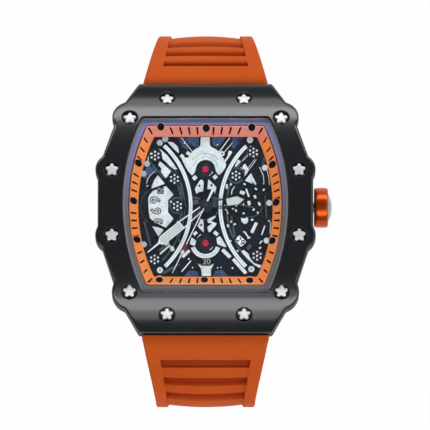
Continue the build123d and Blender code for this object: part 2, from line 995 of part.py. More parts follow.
def keyless_pocket():
    """Room in the plate for the stem, its clutch wheel and the setting lever."""
    reach = movement_half_width + overrun
    start = stem_inner_x - holder_clearance
    middle = Pos((start + reach) / 2, 0, level((plate_top() + stem_drop) / 2))
    channel_r = stem_r + holder_clearance
    room = middle * Box(reach - start, channel_r * 2, stem_drop - plate_top() + channel_r * 2)
    clutch_room = clutch_r + dial_clearance
    span = clutch_length + crown_travel + holder_clearance * 3
    place = Pos(clutch_x + span / 2 - holder_clearance, 0, level(stem_drop))
    room += place * Box(span, clutch_room * 2, clutch_room * 2 + holder_clearance)
    width = lever_width + crown_travel + holder_clearance * 3
    place = Pos(lever_x + width / 2 - holder_clearance, -lever_length / 2, level(lever_drop()))
    room += place * Box(width, lever_length + holder_clearance * 6, lever_thickness + holder_clearance * 6)
    return room


def lever_drop():
    return stem_drop + stem_r + holder_clearance + lever_thickness / 2


def setting_lever():
    place = Pos(lever_x + lever_width / 2, -lever_length / 2, level(lever_drop()))
    return place * Box(lever_width, lever_length, lever_thickness)


def train_bridge():
    """Plate over the wheels, on three pillars that stand on the main plate."""
    high = bridge_top()
    low = high + bridge_thickness
    body = prism(Rectangle(bridge_half_width * 2, bridge_half_length * 2), high, low)
    edge_x = bridge_half_width - pillar_r
    edge_y = bridge_half_length - pillar_r
    for x, y in ((-edge_x, edge_y), (0, edge_y), (-edge_x, -edge_y)):
        body += rod(pillar_r, plate_bottom(), low, (x, y))
    for place in (polar(train_distance, train_angle), polar(fifth_distance, fifth_angle), rotor_at()):
        body -= rod(arbor_r + running_fit, 0, case_thickness * 2, place)
    return body - rod(seconds_arbor_r + running_fit, 0, case_thickness * 2)


def battery():
    return rod(battery_r, plate_bottom(), plate_bottom() + battery_thickness, (0, battery_y))


def battery_clamp():
    """Spring strip across the cell, with a foot at each side on the plate."""
    high = plate_bottom() + battery_thickness
    reach = battery_r + holder_clearance
    foot = Box(clamp_thickness, clamp_width, battery_thickness)
    strip = Box((reach + clamp_thickness) * 2, clamp_width, clamp_thickness)
    body = Pos(0, battery_y, level(high + clamp_thickness / 2)) * strip
    for sign in (-1, 1):
        place = Pos(sign * (reach + clamp_thickness / 2), battery_y, level(high - battery_thickness / 2))
        body += place * foot
    return body


def circuit_board():
    high = bridge_top() + bridge_thickness
    middle = bridge_half_length - board_length / 2
    place = Pos(bridge_half_width - board_width / 2, middle, level(high + board_thickness / 2))
    return place * Box(board_width, board_length, board_thickness)


def hand_blank(length, width, hole_r, drop, angle, tail=0.0, tail_width=0.0):
    """Flat pointed hand with a hub, turned clockwise from 12 o'clock."""
    hub = hole_r + hand_hub_wall
    outline = [(-width / 2, 0), (-width / 2, length * 0.8), (0, length), (width / 2, length * 0.8), (width / 2, 0)]
    face = make_face(Polyline(*outline, close=True)) + Circle(hub)
    if tail > 0:
        face += Pos(0, -tail / 2) * Rectangle(tail_width, tail)
    face -= Circle(hole_r)
    return disc(Rot(Z=-angle) * face, drop, hand_thickness)


def hour_hand():
    hole = cannon_r() + running_fit
    return hand_blank(hour_hand_length, hour_hand_width, hole, hour_hand_drop() - hand_thickness, hour_hand_angle)


def minute_hand():
    hole = centre_pipe_r() + running_fit
    drop = minute_hand_drop() - hand_thickness
    return hand_blank(minute_hand_length, minute_hand_width, hole, drop, minute_hand_angle)


def seconds_hand():
    drop = seconds_hand_drop() - hand_thickness
    return hand_blank(seconds_hand_length, seconds_hand_width, seconds_arbor_r, drop,
                      seconds_hand_angle, seconds_tail_length, seconds_tail_width)


def hand_cap():
    """Small cap on the end of the seconds arbor."""
    low = seconds_hand_drop() - hand_thickness
    cap = rod(cap_r, low - cap_height, low)
    top = cap.faces().sort_by(Axis.Z)[-1]
    return fillet(top.edges(), radius=cap_height / 3)


def crown_start():
    return half_width() + crown_gap


def stem():
    low = stem_inner_x
    high = crown_start() + crown_length - dial_clearance
    return stem_axis((low + high) / 2) * Cylinder(stem_r, high - low)


def clutch_wheel():
    """Toothed sleeve on the stem."""
    ring = gear_face(cannon_teeth, clutch_r - dial_clearance * 2, 0) - Circle(stem_r + running_fit)
    return stem_axis(clutch_x) * extrude(ring, amount=clutch_length)


def crown_body():
    blank = Cylinder(crown_r, crown_length)
    blank = fillet(blank.edges(), radius=crown_edge_r)
    body = stem_axis(crown_start() + crown_length / 2) * blank
    body -= stem_axis(crown_start()) * Cylinder(crown_bore_r, crown_bore_depth * 2)
    return body - stem_axis(crown_start()) * Cylinder(stem_r + running_fit, crown_length * 2)


def crown_cap():
    """Shallow dome on the outer face of the crown."""
    radius = (crown_cap_r ** 2 + crown_cap_height ** 2) / (2 * crown_cap_height)
    start = crown_start() + crown_length
    ball = stem_axis(start + crown_cap_height - radius) * Sphere(radius)
    return ball & (stem_axis(start + crown_cap_height) * Cylinder(crown_cap_r * 2, crown_cap_height * 2))


def crown_gasket():
    ring = Cylinder(crown_bore_r - running_fit, oring_thickness)
    ring -= Cylinder(tube_r + running_fit, overrun)
    return stem_axis(crown_start() + oring_thickness) * ring


def turned(angle):
    """Unit vector at an angle in the Y-Z plane, as a pair."""
    turn = math.radians(angle)
    return math.cos(turn), math.sin(turn)


def meet(start, angle, other, other_angle):
    """Where two lines in the Y-Z plane cross."""
    dy, dz = turned(angle)
    ey, ez = turned(other_angle)
    gap_y = other[0] - start[0]
    gap_z = other[1] - start[1]
    scale = (gap_y * ez - gap_z * ey) / (dy * ez - dz * ey)
    return start[0] + dy * scale, start[1] + dz * scale


def inner_route(points, depths):
    """The route's corners moved to the left of each run by that run's depth."""
    lines = []
    for start, end, depth in zip(points[:-1], points[1:], depths):
        angle = math.degrees(math.atan2(end[1] - start[1], end[0] - start[0]))
        side_y, side_z = turned(angle + 90)
        lines.append(((start[0] + side_y * depth, start[1] + side_z * depth), angle,
                      (end[0] + side_y * depth, end[1] + side_z * depth)))
    corners = [lines[0][0]]
    for line, following in zip(lines[:-1], lines[1:]):
        corners.append(meet(line[0], line[1], following[0], following[1]))
    corners.append(lines[-1][2])
    return corners


def ribbon(points, radii, start_depths, depths):
    """Strap section between two parallel routes, extruded across the strap."""
    upper = inner_route(points, start_depths)
    lower = inner_route(points, depths)
    upper_r = [radius - (first + second) / 2 for radius, first, second in
               zip(radii, start_depths[:-1], start_depths[1:])]
    lower_r = [radius - max(first, second) for radius, first, second in zip(radii, depths[:-1], depths[1:])]
    outer = FilletPolyline(*upper, radius=upper_r)
    inner = FilletPolyline(*lower, radius=lower_r)
    ends = [Line(outer @ 0, inner @ 0), Line(outer @ 1, inner @ 1)]
    return make_face(outer.edges() + inner.edges() + ends)


def shoulder_z():
    return level(strap_drop)


def strap_shoulder_r():
    """Radius of the strap's shoulders, which start to bend just past the case."""
    return strap_reach - half_length() - strap_gap - strap_shoulder_run


def slope_height():
    """Height at which the strap's 12 o'clock side turns into the slope under the wrist."""
    return slope_share * total_height


def six_corner_z():
    return six_corner_share * total_height


def six_points():
    """Corners of the long strap's outer surface, from the 6 o'clock case end round to its tail."""
    lift = layer_gap + strap_tail_thickness
    out_y, out_z = turned(slope_angle - 90)
    base = (strap_reach + out_y * lift, slope_height() + out_z * lift)
    foot = meet(base, slope_angle, (0, 0), 0)
    knee = meet(base, slope_angle, (strap_reach + lift, 0), 90)
    side_y, side_z = turned(180 + six_lean)
    side = (strap_shoulder_r() * (1 + side_y) - strap_reach,
            shoulder_z() - strap_shoulder_r() * (1 - side_z))
    crest = meet(side, six_lean - 90, (0, shoulder_z()), 0)
    hip = meet(side, six_lean - 90, (0, six_corner_z()), 0)
    return [(-half_length() - strap_gap, shoulder_z()), crest, hip, (six_corner_y, 0), foot, knee,
            (knee[0], knee[1] + slope_r)]


def six_radii():
    return [strap_shoulder_r(), six_slope_r, six_rest_r, rest_r, slope_r + layer_gap + strap_tail_thickness]


def six_depths():
    return [strap_case_thickness, strap_side_thickness, strap_slope_thickness,
            strap_tail_thickness, strap_tail_thickness, strap_tail_thickness]


def twelve_points():
    """Corners of the short strap's outer surface, from its buckle bar up to the case."""
    end = meet((strap_reach, slope_height()), slope_angle, bar_centre(), slope_angle - 90)
    return [end, (strap_reach, slope_height()), (strap_reach, shoulder_z()),
            (half_length() + strap_gap, shoulder_z())]


def bar_centre():
    """Axis of the buckle's spring bar in the Y-Z plane."""
    foot = six_points()[4]
    along_y, along_z = turned(slope_angle)
    in_y, in_z = turned(slope_angle + 90)
    depth = strap_tail_thickness + layer_gap + strap_slope_thickness / 2
    return (foot[0] + along_y * bar_up_slope + in_y * depth,
            foot[1] + along_z * bar_up_slope + in_z * depth)


def width_prism():
    """Front view of a strap: full width at the case, narrower from the horizon down."""
    horizon = level(strap_drop + strap_shoulder_r())
    top = (strap_case_width() / 2, level(0))
    wide = (strap_case_width() / 2, horizon + strap_taper_drop)
    narrow = (strap_horizon_width / 2, horizon - strap_taper_drop)
    low = (strap_low_width / 2, 0)
    side = [top, wide, narrow, low]
    loop = side + [(-x, z) for x, z in reversed(side)]
    face = make_face(Polyline(*loop, close=True))
    return extrude(Plane.XZ * face, amount=case_length, both=True)


def plan_wedges():
    """What the taper takes off a strap's sides between the case and the horizon."""
    near = half_length()
    full = strap_case_width() / 2
    outer = full + (strap_horizon_width / 2 - full) * (case_length - near) / (strap_reach - near)
    face = make_face(Polyline((full, near), (full * 2, near), (full * 2, case_length), (outer, case_length),
                              close=True))
    low = level(strap_drop + strap_shoulder_r() + strap_taper_drop)
    wedge = extrude(Pos(0, 0, low) * face, amount=level(0) - low)
    wedges = [wedge, mirror(wedge, about=Plane.YZ)]
    return wedges + [mirror(shape, about=Plane.XZ) for shape in wedges]


def case_pad():
    """The part of the straps next to the case, where their middle isn't sunk."""
    radius = strap_shoulder_r()
    reach = strap_reach - radius + radius * math.sin(math.radians(channel_start_angle))
    return Pos(0, 0, level(0)) * Box(case_width, reach * 2, (strap_drop + radius) * 2)


def strap_body(points, radii, depths):
    """Rubber band with two side rails, and its middle sunk between them."""
    body = extrude(Plane.YZ * ribbon(points, radii, [0] * len(depths), depths),
                   amount=strap_case_width() / 2, both=True)
    sunk = ribbon(points, radii, [-seam] * len(depths), [rail_step] * len(depths))
    middle = strap_horizon_width / 2 - rail_width
    body -= extrude(Plane.YZ * sunk, amount=middle, both=True) - case_pad()
    body &= width_prism()
    for wedge in plan_wedges():
        body -= wedge
    return body


def strap_end(shape, sign):
    """Adds the block that goes into the case end, bored for its bar."""
    side = strap_case_width() / 2
    block = tongue_block(side, tongue_depth, 0, tongue_floor_drop)
    block &= top_layer(band_top() + slot_clearance, case_thickness)
    neck_low = strap_drop + strap_case_thickness
    neck = tongue_block(side, strap_gap, 0, neck_low)
    block += neck & top_layer(band_top() + slot_clearance, case_thickness)
    place = bar_places()[0]
    if sign < 0:
        block = Rot(Z=180) * block
        place = bar_places()[1]
    return (shape + block) - place * Cylinder(bar_r + running_fit, case_width)


def grooves(angles, sign):
    """Transverse grooves over the shoulder of a strap."""
    cuts = []
    for angle, length in zip(angles, groove_lengths):
        cut = Pos(0, 0, strap_shoulder_r()) * Box(length, groove_width, groove_depth * 2)
        place = Pos(0, sign * (strap_reach - strap_shoulder_r()), level(strap_drop + strap_shoulder_r()))
        cuts.append(place * Rot(X=-sign * angle) * cut)
    return cuts


def slope_spot(up_slope):
    """Seat on the tail's outer surface: Y up the slope, Z towards the wrist."""
    foot = six_points()[4]
    along_y, along_z = turned(slope_angle)
    return Pos(0, foot[0] + along_y * up_slope, foot[1] + along_z * up_slope) * Rot(X=slope_angle)


def hole_places():
    """Seats of the strap holes along the tail, one of them under the tongue."""
    foot = six_points()[4]
    used = bar_up_slope - tongue_exit_back + tongue_thickness + hole_shift
    places = [slope_spot(used)]
    for step in range(1, holes_after + 1):
        places.append(slope_spot(used + step * hole_pitch))
    for step in range(holes_before):
        places.append(Pos(0, foot[0] - rest_r - step * hole_pitch, 0))
    return places


def tail_cut():
    """Everything past the rounded end of the tail."""
    reach = bar_up_slope + tail_past_bar
    round_r = strap_low_width / 2
    keep = Pos(0, -round_r * 3) * Rectangle(strap_case_width(), round_r * 4) + Pos(0, -round_r) * Circle(round_r)
    field = Pos(0, overrun * 2) * Rectangle(strap_case_width() * 2, round_r * 4)
    cut = extrude(field - keep, amount=strap_case_width(), both=True)
    return slope_spot(reach) * cut


def strap_six():
    """Long strap: from the 6 o'clock end under the wrist to its free tail."""
    body = strap_body(six_points(), six_radii(), six_depths())
    body = strap_end(body, -1)
    for cut in grooves(six_groove_angles, -1):
        body -= cut
    slot = SlotOverall(hole_length, hole_width, rotation=90)
    for place in hole_places():
        body -= place * extrude(slot, amount=strap_tail_thickness * 2, both=True)
    return body - tail_cut()


def strap_twelve():
    """Short strap: from the 12 o'clock end down to the buckle's bar."""
    depths = [strap_slope_thickness, strap_side_thickness, strap_case_thickness]
    body = strap_body(twelve_points(), [slope_r, strap_shoulder_r()], depths)
    body = strap_end(body, 1)
    for cut in grooves(twelve_groove_angles, 1):
        body -= cut
    y, z = bar_centre()
    axis = Pos(0, y, z) * Rot(Y=90)
    radius = strap_slope_thickness / 2
    body += axis * Cylinder(radius, strap_low_width)
    body -= axis * Cylinder(buckle_bar_r + buckle_fit, strap_case_width())
    notch = tongue_width + notch_gap * 2
    room = tongue_hub_r + notch_gap
    return body - Pos(0, y, z) * Rot(X=slope_angle) * Box(notch, room * 2, room * 2)


def bar_places():
    """Axes of the two bars that hold the strap in the case, with Z along X."""
    places = []
    for sign in (1, -1):
        places.append(Pos(0, sign * bar_y, level(bar_drop)) * Rot(Y=90))
    return places


def strap_bars():
    bar = Cylinder(bar_r, bar_end_x() * 2)
    for sign in (1, -1):
        bar -= Pos(0, 0, sign * bar_end_x()) * Cylinder(bar_screw_r + running_fit, bar_screw_depth * 2 + seam * 2)
    return Compound(children=[place * bar for place in bar_places()])


def strap_bar_screws():
    """Short screws that close the bars from outside the case."""
    solids = []
    head = bar_end_x() / 14
    for place in bar_places():
        for sign in (1, -1):
            screw = Pos(0, 0, sign * (bar_end_x() + seam + head / 2)) * Cylinder(bar_r, head)
            screw += Pos(0, 0, sign * (bar_end_x() - bar_screw_depth / 2)) * Cylinder(
                bar_screw_r, bar_screw_depth + seam * 2)
            solids.append(place * screw)
    return Compound(children=solids)


def rail_centre():
    """Axis of the buckle's outer bar, just clear of the bend of the strap under it."""
    foot = six_points()[4]
    tangent = rest_r * math.tan(math.radians(slope_angle / 2))
    centre = (foot[0] - tangent, rest_r)
    reach = rest_r + layer_gap + buckle_rail_r
    down = centre[1] - buckle_rail_height
    return centre[0] + math.sqrt(reach ** 2 - down ** 2), buckle_rail_height


def buckle_inner():
    return strap_low_width / 2 + (strap_horizon_width - strap_low_width) / 2 + buckle_side_gap


def buckle_angle():
    bar = bar_centre()
    rail = rail_centre()
    return math.degrees(math.atan2(rail[1] - bar[1], rail[0] - bar[0]))


def buckle_frame():
    """Two arms from the spring bar to the round outer rail."""
    bar = bar_centre()
    rail = rail_centre()
    length = math.dist(bar, rail)
    inner = buckle_inner()
    outer = inner + buckle_arm_width
    middle = Pos(0, (bar[0] + rail[0]) / 2, (bar[1] + rail[1]) / 2) * Rot(X=buckle_angle())
    body = Pos(0, rail[0], rail[1]) * Rot(Y=90) * Cylinder(buckle_rail_r, outer * 2)
    for sign in (-1, 1):
        x = sign * (inner + outer) / 2
        body += Pos(x, 0, 0) * middle * Box(buckle_arm_width, length, buckle_arm_thickness)
        end = Pos(x, bar[0], bar[1]) * Rot(Y=90)
        body += end * Cylinder(buckle_arm_thickness / 2 + buckle_fit * 4, buckle_arm_width)
    return body - Pos(0, bar[0], bar[1]) * Rot(Y=90) * Cylinder(buckle_bar_r + buckle_fit, outer * 4)


def buckle_spring_bar():
    bar = bar_centre()
    length = (buckle_inner() + buckle_arm_width) * 2 - seam * 2
    return Pos(0, bar[0], bar[1]) * Rot(Y=90) * Cylinder(buckle_bar_r, length)


def tongue_exit():
    """Where the tongue bends, outside the tail."""
    foot = six_points()[4]
    along_y, along_z = turned(slope_angle)
    out_y, out_z = turned(slope_angle - 90)
    up_slope = bar_up_slope - tongue_exit_back
    return (foot[0] + along_y * up_slope + out_y * tongue_exit_lift,
            foot[1] + along_z * up_slope + out_z * tongue_exit_lift)


def tongue_tip():
    """Where the tongue ends, on the outside of the buckle's rail."""
    rail = rail_centre()
    foot = six_points()[4]
    tangent = rest_r * math.tan(math.radians(slope_angle / 2))
    centre = (foot[0] - tangent, rest_r)
    reach = math.dist(centre, rail)
    lift = buckle_rail_r + tongue_tip_gap + tongue_thickness / 2
    return (rail[0] + (rail[0] - centre[0]) / reach * lift,
            rail[1] + (rail[1] - centre[1]) / reach * lift)


def link(start, end):
    """Round-ended bar of the tongue between two points in the Y-Z plane."""
    angle = math.degrees(math.atan2(end[1] - start[1], end[0] - start[0]))
    middle = Pos(0, (start[0] + end[0]) / 2, (start[1] + end[1]) / 2) * Rot(X=angle)
    return middle * Box(tongue_width, math.dist(start, end), tongue_thickness)


def knuckle(at, radius):
    return Pos(0, at[0], at[1]) * Rot(Y=90) * Cylinder(radius, tongue_width)


def buckle_tongue():
    """Prong that turns on the spring bar, passes a strap hole and lies on the rail."""
    bar = bar_centre()
    bend = tongue_exit()
    tip = tongue_tip()
    body = link(bar, bend) + link(bend, tip)
    body += knuckle(bend, tongue_thickness / 2)
    body += knuckle(tip, tongue_thickness / 2)
    body += knuckle(bar, tongue_hub_r)
    return body - Pos(0, bar[0], bar[1]) * Rot(Y=90) * Cylinder(buckle_bar_r + buckle_fit, overrun * 2)


def keeper(up_slope):
    """Rubber loop round both layers of the closed strap."""
    depth = strap_tail_thickness + layer_gap + strap_slope_thickness
    room_x = strap_horizon_width + keeper_gap * 2
    room_z = depth + keeper_gap * 2
    loop = Box(room_x + keeper_wall * 2, keeper_length, room_z + keeper_wall * 2)
    loop = fillet(loop.edges().filter_by(Axis.Y), radius=keeper_wall)
    loop -= Box(room_x, keeper_length * 2, room_z)
    return slope_spot(bar_up_slope + up_slope) * Pos(0, 0, depth / 2) * loop


def fixed_keeper():
    return keeper(fixed_keeper_up)


def sliding_keeper():
    return keeper(sliding_keeper_up)


def arc_bridge_left():
    return arc_bridge(-1)


def arc_bridge_right():
    return arc_bridge(1)


for build in (bezel, crystal, crystal_gasket, bezel_gasket, back_gasket, case_band, case_back,
              bezel_screws, case_back_screws, crown_tube, movement_holder, flange_ring, hour_dots,
              dial_plate, arc_bridge_left, arc_bridge_right, upper_bridge, lower_bridge,
              jewel_settings, jewels, dial_bearings,
              number_plate, dial_studs, date_window_frame, date_ring, main_plate, train_bridge,
              battery, battery_clamp, circuit_board, stator, coil, motor_rotor, fifth_wheel,
              seconds_wheel, third_wheel, centre_wheel, cannon_pinion, minute_wheel, hour_wheel,
              hour_hand, minute_hand, seconds_hand, hand_cap, stem, clutch_wheel, setting_lever,
              crown_body, crown_cap, crown_gasket, strap_six, strap_twelve, strap_bars,
              strap_bar_screws, buckle_frame, buckle_spring_bar, buckle_tongue, fixed_keeper,
              sliding_keeper):
    save(build(), build.__name__)
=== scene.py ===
"""Tonneau wristwatch with a closed rubber strap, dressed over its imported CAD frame.

Shapes are worked out in millimetres and put into meshes in metres. Heights on the case are
given as a drop below the middle of the case top, as a watchmaker measures them.
"""
import logging
import math
from dataclasses import dataclass
from enum import Enum
from typing import Any, Sequence

import bmesh
import bpy
import numpy as np
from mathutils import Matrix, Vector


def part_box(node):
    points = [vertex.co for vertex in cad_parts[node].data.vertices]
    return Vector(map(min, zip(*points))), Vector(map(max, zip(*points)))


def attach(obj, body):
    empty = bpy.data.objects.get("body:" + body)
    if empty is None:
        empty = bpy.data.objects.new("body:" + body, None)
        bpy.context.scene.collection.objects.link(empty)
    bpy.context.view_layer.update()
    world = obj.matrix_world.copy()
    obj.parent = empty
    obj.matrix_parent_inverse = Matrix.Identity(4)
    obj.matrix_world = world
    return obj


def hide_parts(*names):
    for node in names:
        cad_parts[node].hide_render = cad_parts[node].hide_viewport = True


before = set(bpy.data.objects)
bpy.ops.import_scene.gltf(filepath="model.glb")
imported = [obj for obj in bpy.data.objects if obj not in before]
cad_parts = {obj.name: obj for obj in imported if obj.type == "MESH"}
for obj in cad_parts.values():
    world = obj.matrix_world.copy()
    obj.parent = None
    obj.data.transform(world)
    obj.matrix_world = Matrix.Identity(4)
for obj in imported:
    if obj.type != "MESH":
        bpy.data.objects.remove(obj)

logging.basicConfig(level=logging.INFO, format="%(message)s")
log = logging.getLogger("tonneau")

MM = 0.001
CASE_TOP = 64.0
ALONG_X = np.array((1.0, 0.0, 0.0))
UP = np.array((0.0, 0.0, 1.0))

Mesh = bpy.types.Mesh
Array = np.ndarray
Pair = tuple[float, float]


# ---- colours and shader sockets

def tint(code: str) -> tuple[float, float, float, float]:
    """Linear colour of a hex code.

    Args:
        code: The colour as a screen shows it, such as "#C55321".

    Returns:
        Red, green, blue and alpha, each channel undone from the screen's curve.
    """
    raw = np.array([int(code[i:i + 2], 16) for i in (1, 3, 5)]) / 255.0
    flat = np.where(raw <= 0.04045, raw / 12.92, ((raw + 0.055) / 1.055) ** 2.4)
    return (float(flat[0]), float(flat[1]), float(flat[2]), 1.0)


class Wire:
    """An output socket whose arithmetic adds Math nodes to its tree."""

    def __init__(self, paint: "Paint", socket: Any) -> None:
        """Keeps the tree and the socket."""
        self.paint = paint
        self.socket = socket

    def math(self, operation: str, *others: Any) -> "Wire":
        """One Math node on this wire and the others."""
        return self.paint.node("Math", {"operation": operation}, dict(enumerate((self, *others))))

    def __add__(self, other: Any) -> "Wire":
        """Sum."""
        return self.math("ADD", other)

    def __sub__(self, other: Any) -> "Wire":
        """Difference."""
        return self.math("SUBTRACT", other)

    def __mul__(self, other: Any) -> "Wire":
        """Product."""
        return self.math("MULTIPLY", other)

    def __pow__(self, other: Any) -> "Wire":
        """Power."""
        return self.math("POWER", other)

    def __abs__(self) -> "Wire":
        """Size without sign."""
        return self.math("ABSOLUTE")

    def most(self, other: Any) -> "Wire":
        """The greater of two."""
        return self.math("MAXIMUM", other)

    def ramp(self, low: float, high: float) -> "Wire":
        """0 at low and 1 at high, smooth between and level outside."""
        return self.paint.node("MapRange", {"interpolation_type": "SMOOTHSTEP"},
                               {"Value": self, "From Min": low, "From Max": high})


class Paint:
    """The node tree of a material or of the surround, under construction."""

    def __init__(self, owner: Any) -> None:
        """Empties the owner's tree.

        Args:
            owner: The material or the world that has the tree.
        """
        owner.use_nodes = True
        self.owner = owner
        self.tree = owner.node_tree
        self.tree.nodes.clear()

    def node(self, kind: str, settings: dict[str, Any] | None = None,
             values: dict[Any, Any] | None = None, output: int | str = 0) -> Wire:
        """Adds one node.

        Args:
            kind: The node's type without its "ShaderNode" start.
            settings: Its settings, set before its sockets.
            values: Values or wires by input name or number.
            output: Which output to hand back.

        Returns:
            The chosen output.
        """
        made = self.tree.nodes.new("ShaderNode" + kind)
        for name, value in (settings or {}).items():
            setattr(made, name, value)
        for name, value in (values or {}).items():
            if isinstance(value, Wire):
                self.tree.links.new(value.socket, made.inputs[name])
            else:
                made.inputs[name].default_value = value
        return Wire(self, made.outputs[output])

    def mix(self, factor: Any, first: Any, second: Any) -> Wire:
        """Colour between two colours."""
        return self.node("Mix", {"data_type": "RGBA"}, {0: factor, 6: first, 7: second}, 2)

    def place(self) -> Wire:
        """Object coordinates, in metres."""
        return self.node("TexCoord", output="Object")

    def axes(self) -> tuple[Wire, Wire, Wire]:
        """The three object coordinates, in millimetres."""
        scaled = self.node("VectorMath", {"operation": "SCALE"}, {0: self.place(), "Scale": 1 / MM})
        return tuple(self.node("SeparateXYZ", values={0: scaled}, output=i) for i in range(3))

    def noise(self, size: float, detail: float = 3.0, stretch: tuple[float, float, float] = (1, 1, 1)) -> Wire:
        """Noise whose features are about size millimetres across, stretched along each axis.

        Args:
            size: Size of the features in millimetres.
            detail: Number of finer layers.
            stretch: How many times longer the features are along X, Y and Z.

        Returns:
            The noise, from 0 to 1.
        """
        scale = tuple(1.0 / value for value in stretch)
        spot = self.node("Mapping", values={"Vector": self.place(), "Scale": scale})
        return self.node("TexNoise", {"normalize": True},
                         {"Vector": spot, "Scale": 1 / (size * MM), "Detail": detail})

    def bump(self, height: Wire, depth: float) -> Wire:
        """Normal of a surface whose relief is height times depth millimetres."""
        return self.node("Bump", values={"Height": height, "Distance": depth * MM})

    def surface(self, **values: Any) -> Wire:
        """A Principled shader, its sockets named with _ for a space."""
        return self.node("BsdfPrincipled", values={name.replace("_", " "): value
                                                   for name, value in values.items()}, output="BSDF")

    def finish(self, shader: Wire, kind: str = "OutputMaterial") -> Any:
        """Joins the shader to the tree's output and hands the owner back.

        Args:
            shader: The finished shader.
            kind: Output node of a material or of the world.

        Returns:
            The material or the world.
        """
        out = self.tree.nodes.new("ShaderNode" + kind)
        self.tree.links.new(shader.socket, out.inputs["Surface"])
        return self.owner


class Grain(Enum):
    """How the fine marks of a finish lie, as the stretch of its noise along X, Y and Z."""

    EVEN = (1.0, 1.0, 1.0)
    ALONG_X = (60.0, 1.0, 1.0)
    ALONG_Y = (1.0, 60.0, 1.0)
    UPRIGHT = (1.0, 1.0, 60.0)


class Look:
    """What gives a piece its material; it also holds a slot name."""

    name: str
    slot: str

    def material(self) -> bpy.types.Material:
        """The look as a material, made once.

        Returns:
            The material, shared by all pieces of this look.
        """
        known = bpy.data.materials.get(self.name)
        if known is None:
            paint = Paint(bpy.data.materials.new(self.name))
            known = paint.finish(self.shader(paint))
        return known


@dataclass(frozen=True)
class Finish(Look):
    """A metal, plastic or rubber surface with its fine grain.

    Colour and roughness each move between two values with a noise of grain_size millimetres,
    a second noise wear_size across shifts them over larger patches, and the grain is also
    raised as relief. The emission share is the part of its own colour added as emission,
    painted light that brightens pieces lying in shade.
    """

    name: str
    slot: str
    colour: str
    second: str
    roughness: float
    roughness_spread: float
    grain_size: float
    relief: float
    metallic: float = 0.0
    coat: float = 0.0
    coat_roughness: float = 0.1
    wear_size: float = 6.0
    level: float = 0.5
    painted_glow: float = 0.0
    grain: Grain = Grain.EVEN

    def shader(self, paint: Paint) -> Wire:
        """The finish as a shader.

        Args:
            paint: The tree under construction.

        Returns:
            The shader.
        """
        fine = paint.noise(self.grain_size, 3.0, self.grain.value)
        wide = paint.noise(self.wear_size, 2.0)
        blend = (fine * 0.6 + wide * 0.4).ramp(0.3, 0.7)
        rough = (fine - 0.5) * (2 * self.roughness_spread) + (wide - 0.5) * self.roughness_spread + self.roughness
        colour = paint.mix(blend, tint(self.colour), tint(self.second))
        # Painted light: emission of the piece's own colour brightens a piece that lies in shade.
        lit = {"Emission_Color": colour, "Emission_Strength": self.painted_glow} if self.painted_glow else {}
        return paint.surface(
            Base_Color=colour, Roughness=rough, Metallic=self.metallic, Coat_Weight=self.coat,
            Coat_Roughness=self.coat_roughness, Specular_IOR_Level=self.level,
            Normal=paint.bump(fine, self.relief), **lit)


BLACK_METAL = Finish("black_coated_steel", "black_metal", "#0b0d0f", "#111418", 0.18, 0.03, 0.07, 0.0005,
                     coat=0.3, coat_roughness=0.08, wear_size=8.0)
BAND_METAL = Finish("black_brushed_band", "black_metal", "#0b0c0d", "#141516", 0.4, 0.06, 0.1, 0.0012,
                    level=0.04, grain=Grain.UPRIGHT)
BACK_STEEL = Finish("brushed_back_steel", "back_steel", "#2c2e30", "#3a3c3e", 0.36, 0.08, 0.08, 0.002,
                    metallic=0.9, grain=Grain.ALONG_X)
STAR_STEEL = Finish("bright_star_steel", "screw_steel", "#cacaca", "#e2e2e1", 0.42, 0.05, 0.12, 0.001,
                    metallic=0.3)
SEAL = Finish("seal_rubber", "seal", "#15171a", "#22262a", 0.6, 0.08, 0.1, 0.003)
CROWN_ORANGE = Finish("crown_orange_enamel", "crown_orange", "#b9440c", "#c24c14", 0.3, 0.05, 0.2, 0.0012,
                      metallic=0.85, coat_roughness=0.14)
CROWN_SILVER = Finish("crown_cap_silver", "crown_silver", "#83898b", "#a4a9ab", 0.22, 0.05, 0.15, 0.001,
                      metallic=1.0)
BUCKLE_BLACK = Finish("black_buckle_steel", "buckle_black", "#16181a", "#232628", 0.27, 0.06, 0.09, 0.0012,
                      metallic=0.4, coat=0.2, grain=Grain.ALONG_X)
BAR_STEEL = Finish("bar_steel", "movement_steel", "#9ea2a5", "#b9bcbe", 0.25, 0.06, 0.07, 0.001, metallic=1.0,
                   grain=Grain.ALONG_X)
SCREEN_BRASS = Finish("gilt_brass", "brass", "#b08d3c", "#c9a85a", 0.28, 0.06, 0.06, 0.0008, metallic=1.0)
MOVEMENT_STEEL = Finish("nickel_plate", "movement_steel", "#8d9194", "#a5a9ab", 0.3, 0.06, 0.08, 0.0015,
                        metallic=1.0, grain=Grain.ALONG_Y)
HOLDER = Finish("holder_moulding", "holder_plastic", "#1b1d1f", "#26292b", 0.5, 0.08, 0.1, 0.003)
CELL = Finish("cell_can", "cell_steel", "#a9adb0", "#bfc3c5", 0.25, 0.06, 0.3, 0.001, metallic=1.0)
BOARD = Finish("board_lacquer", "board_green", "#1d4a2c", "#2a6a3e", 0.3, 0.06, 0.25, 0.006, coat=0.3,
               grain=Grain.ALONG_X)
IRON = Finish("soft_iron", "iron", "#4d5052", "#66696b", 0.38, 0.08, 0.12, 0.002, metallic=0.9)
COPPER = Finish("wound_copper", "copper", "#9c4a22", "#c36a3a", 0.3, 0.08, 0.05, 0.01, metallic=0.9,
                grain=Grain.UPRIGHT)
# Painted light: a little emission brightens the white work, which is dim down in the case.
APPLIED_WHITE = Finish("applied_white", "relief_white", "#c9d8d2", "#f8fdfa", 0.36, 0.06, 0.3, 0.008, coat=0.15,
                       coat_roughness=0.15, wear_size=1.6, painted_glow=0.07)
# Painted light: emission brightens the arc bridges, which are dim down in the case.
ARC_WHITE = Finish("arc_bridge_white", "relief_white", "#dde9e8", "#f6fbfb", 0.34, 0.06, 0.22, 0.005, coat=0.15,
                   coat_roughness=0.15, wear_size=2.5, painted_glow=0.16)
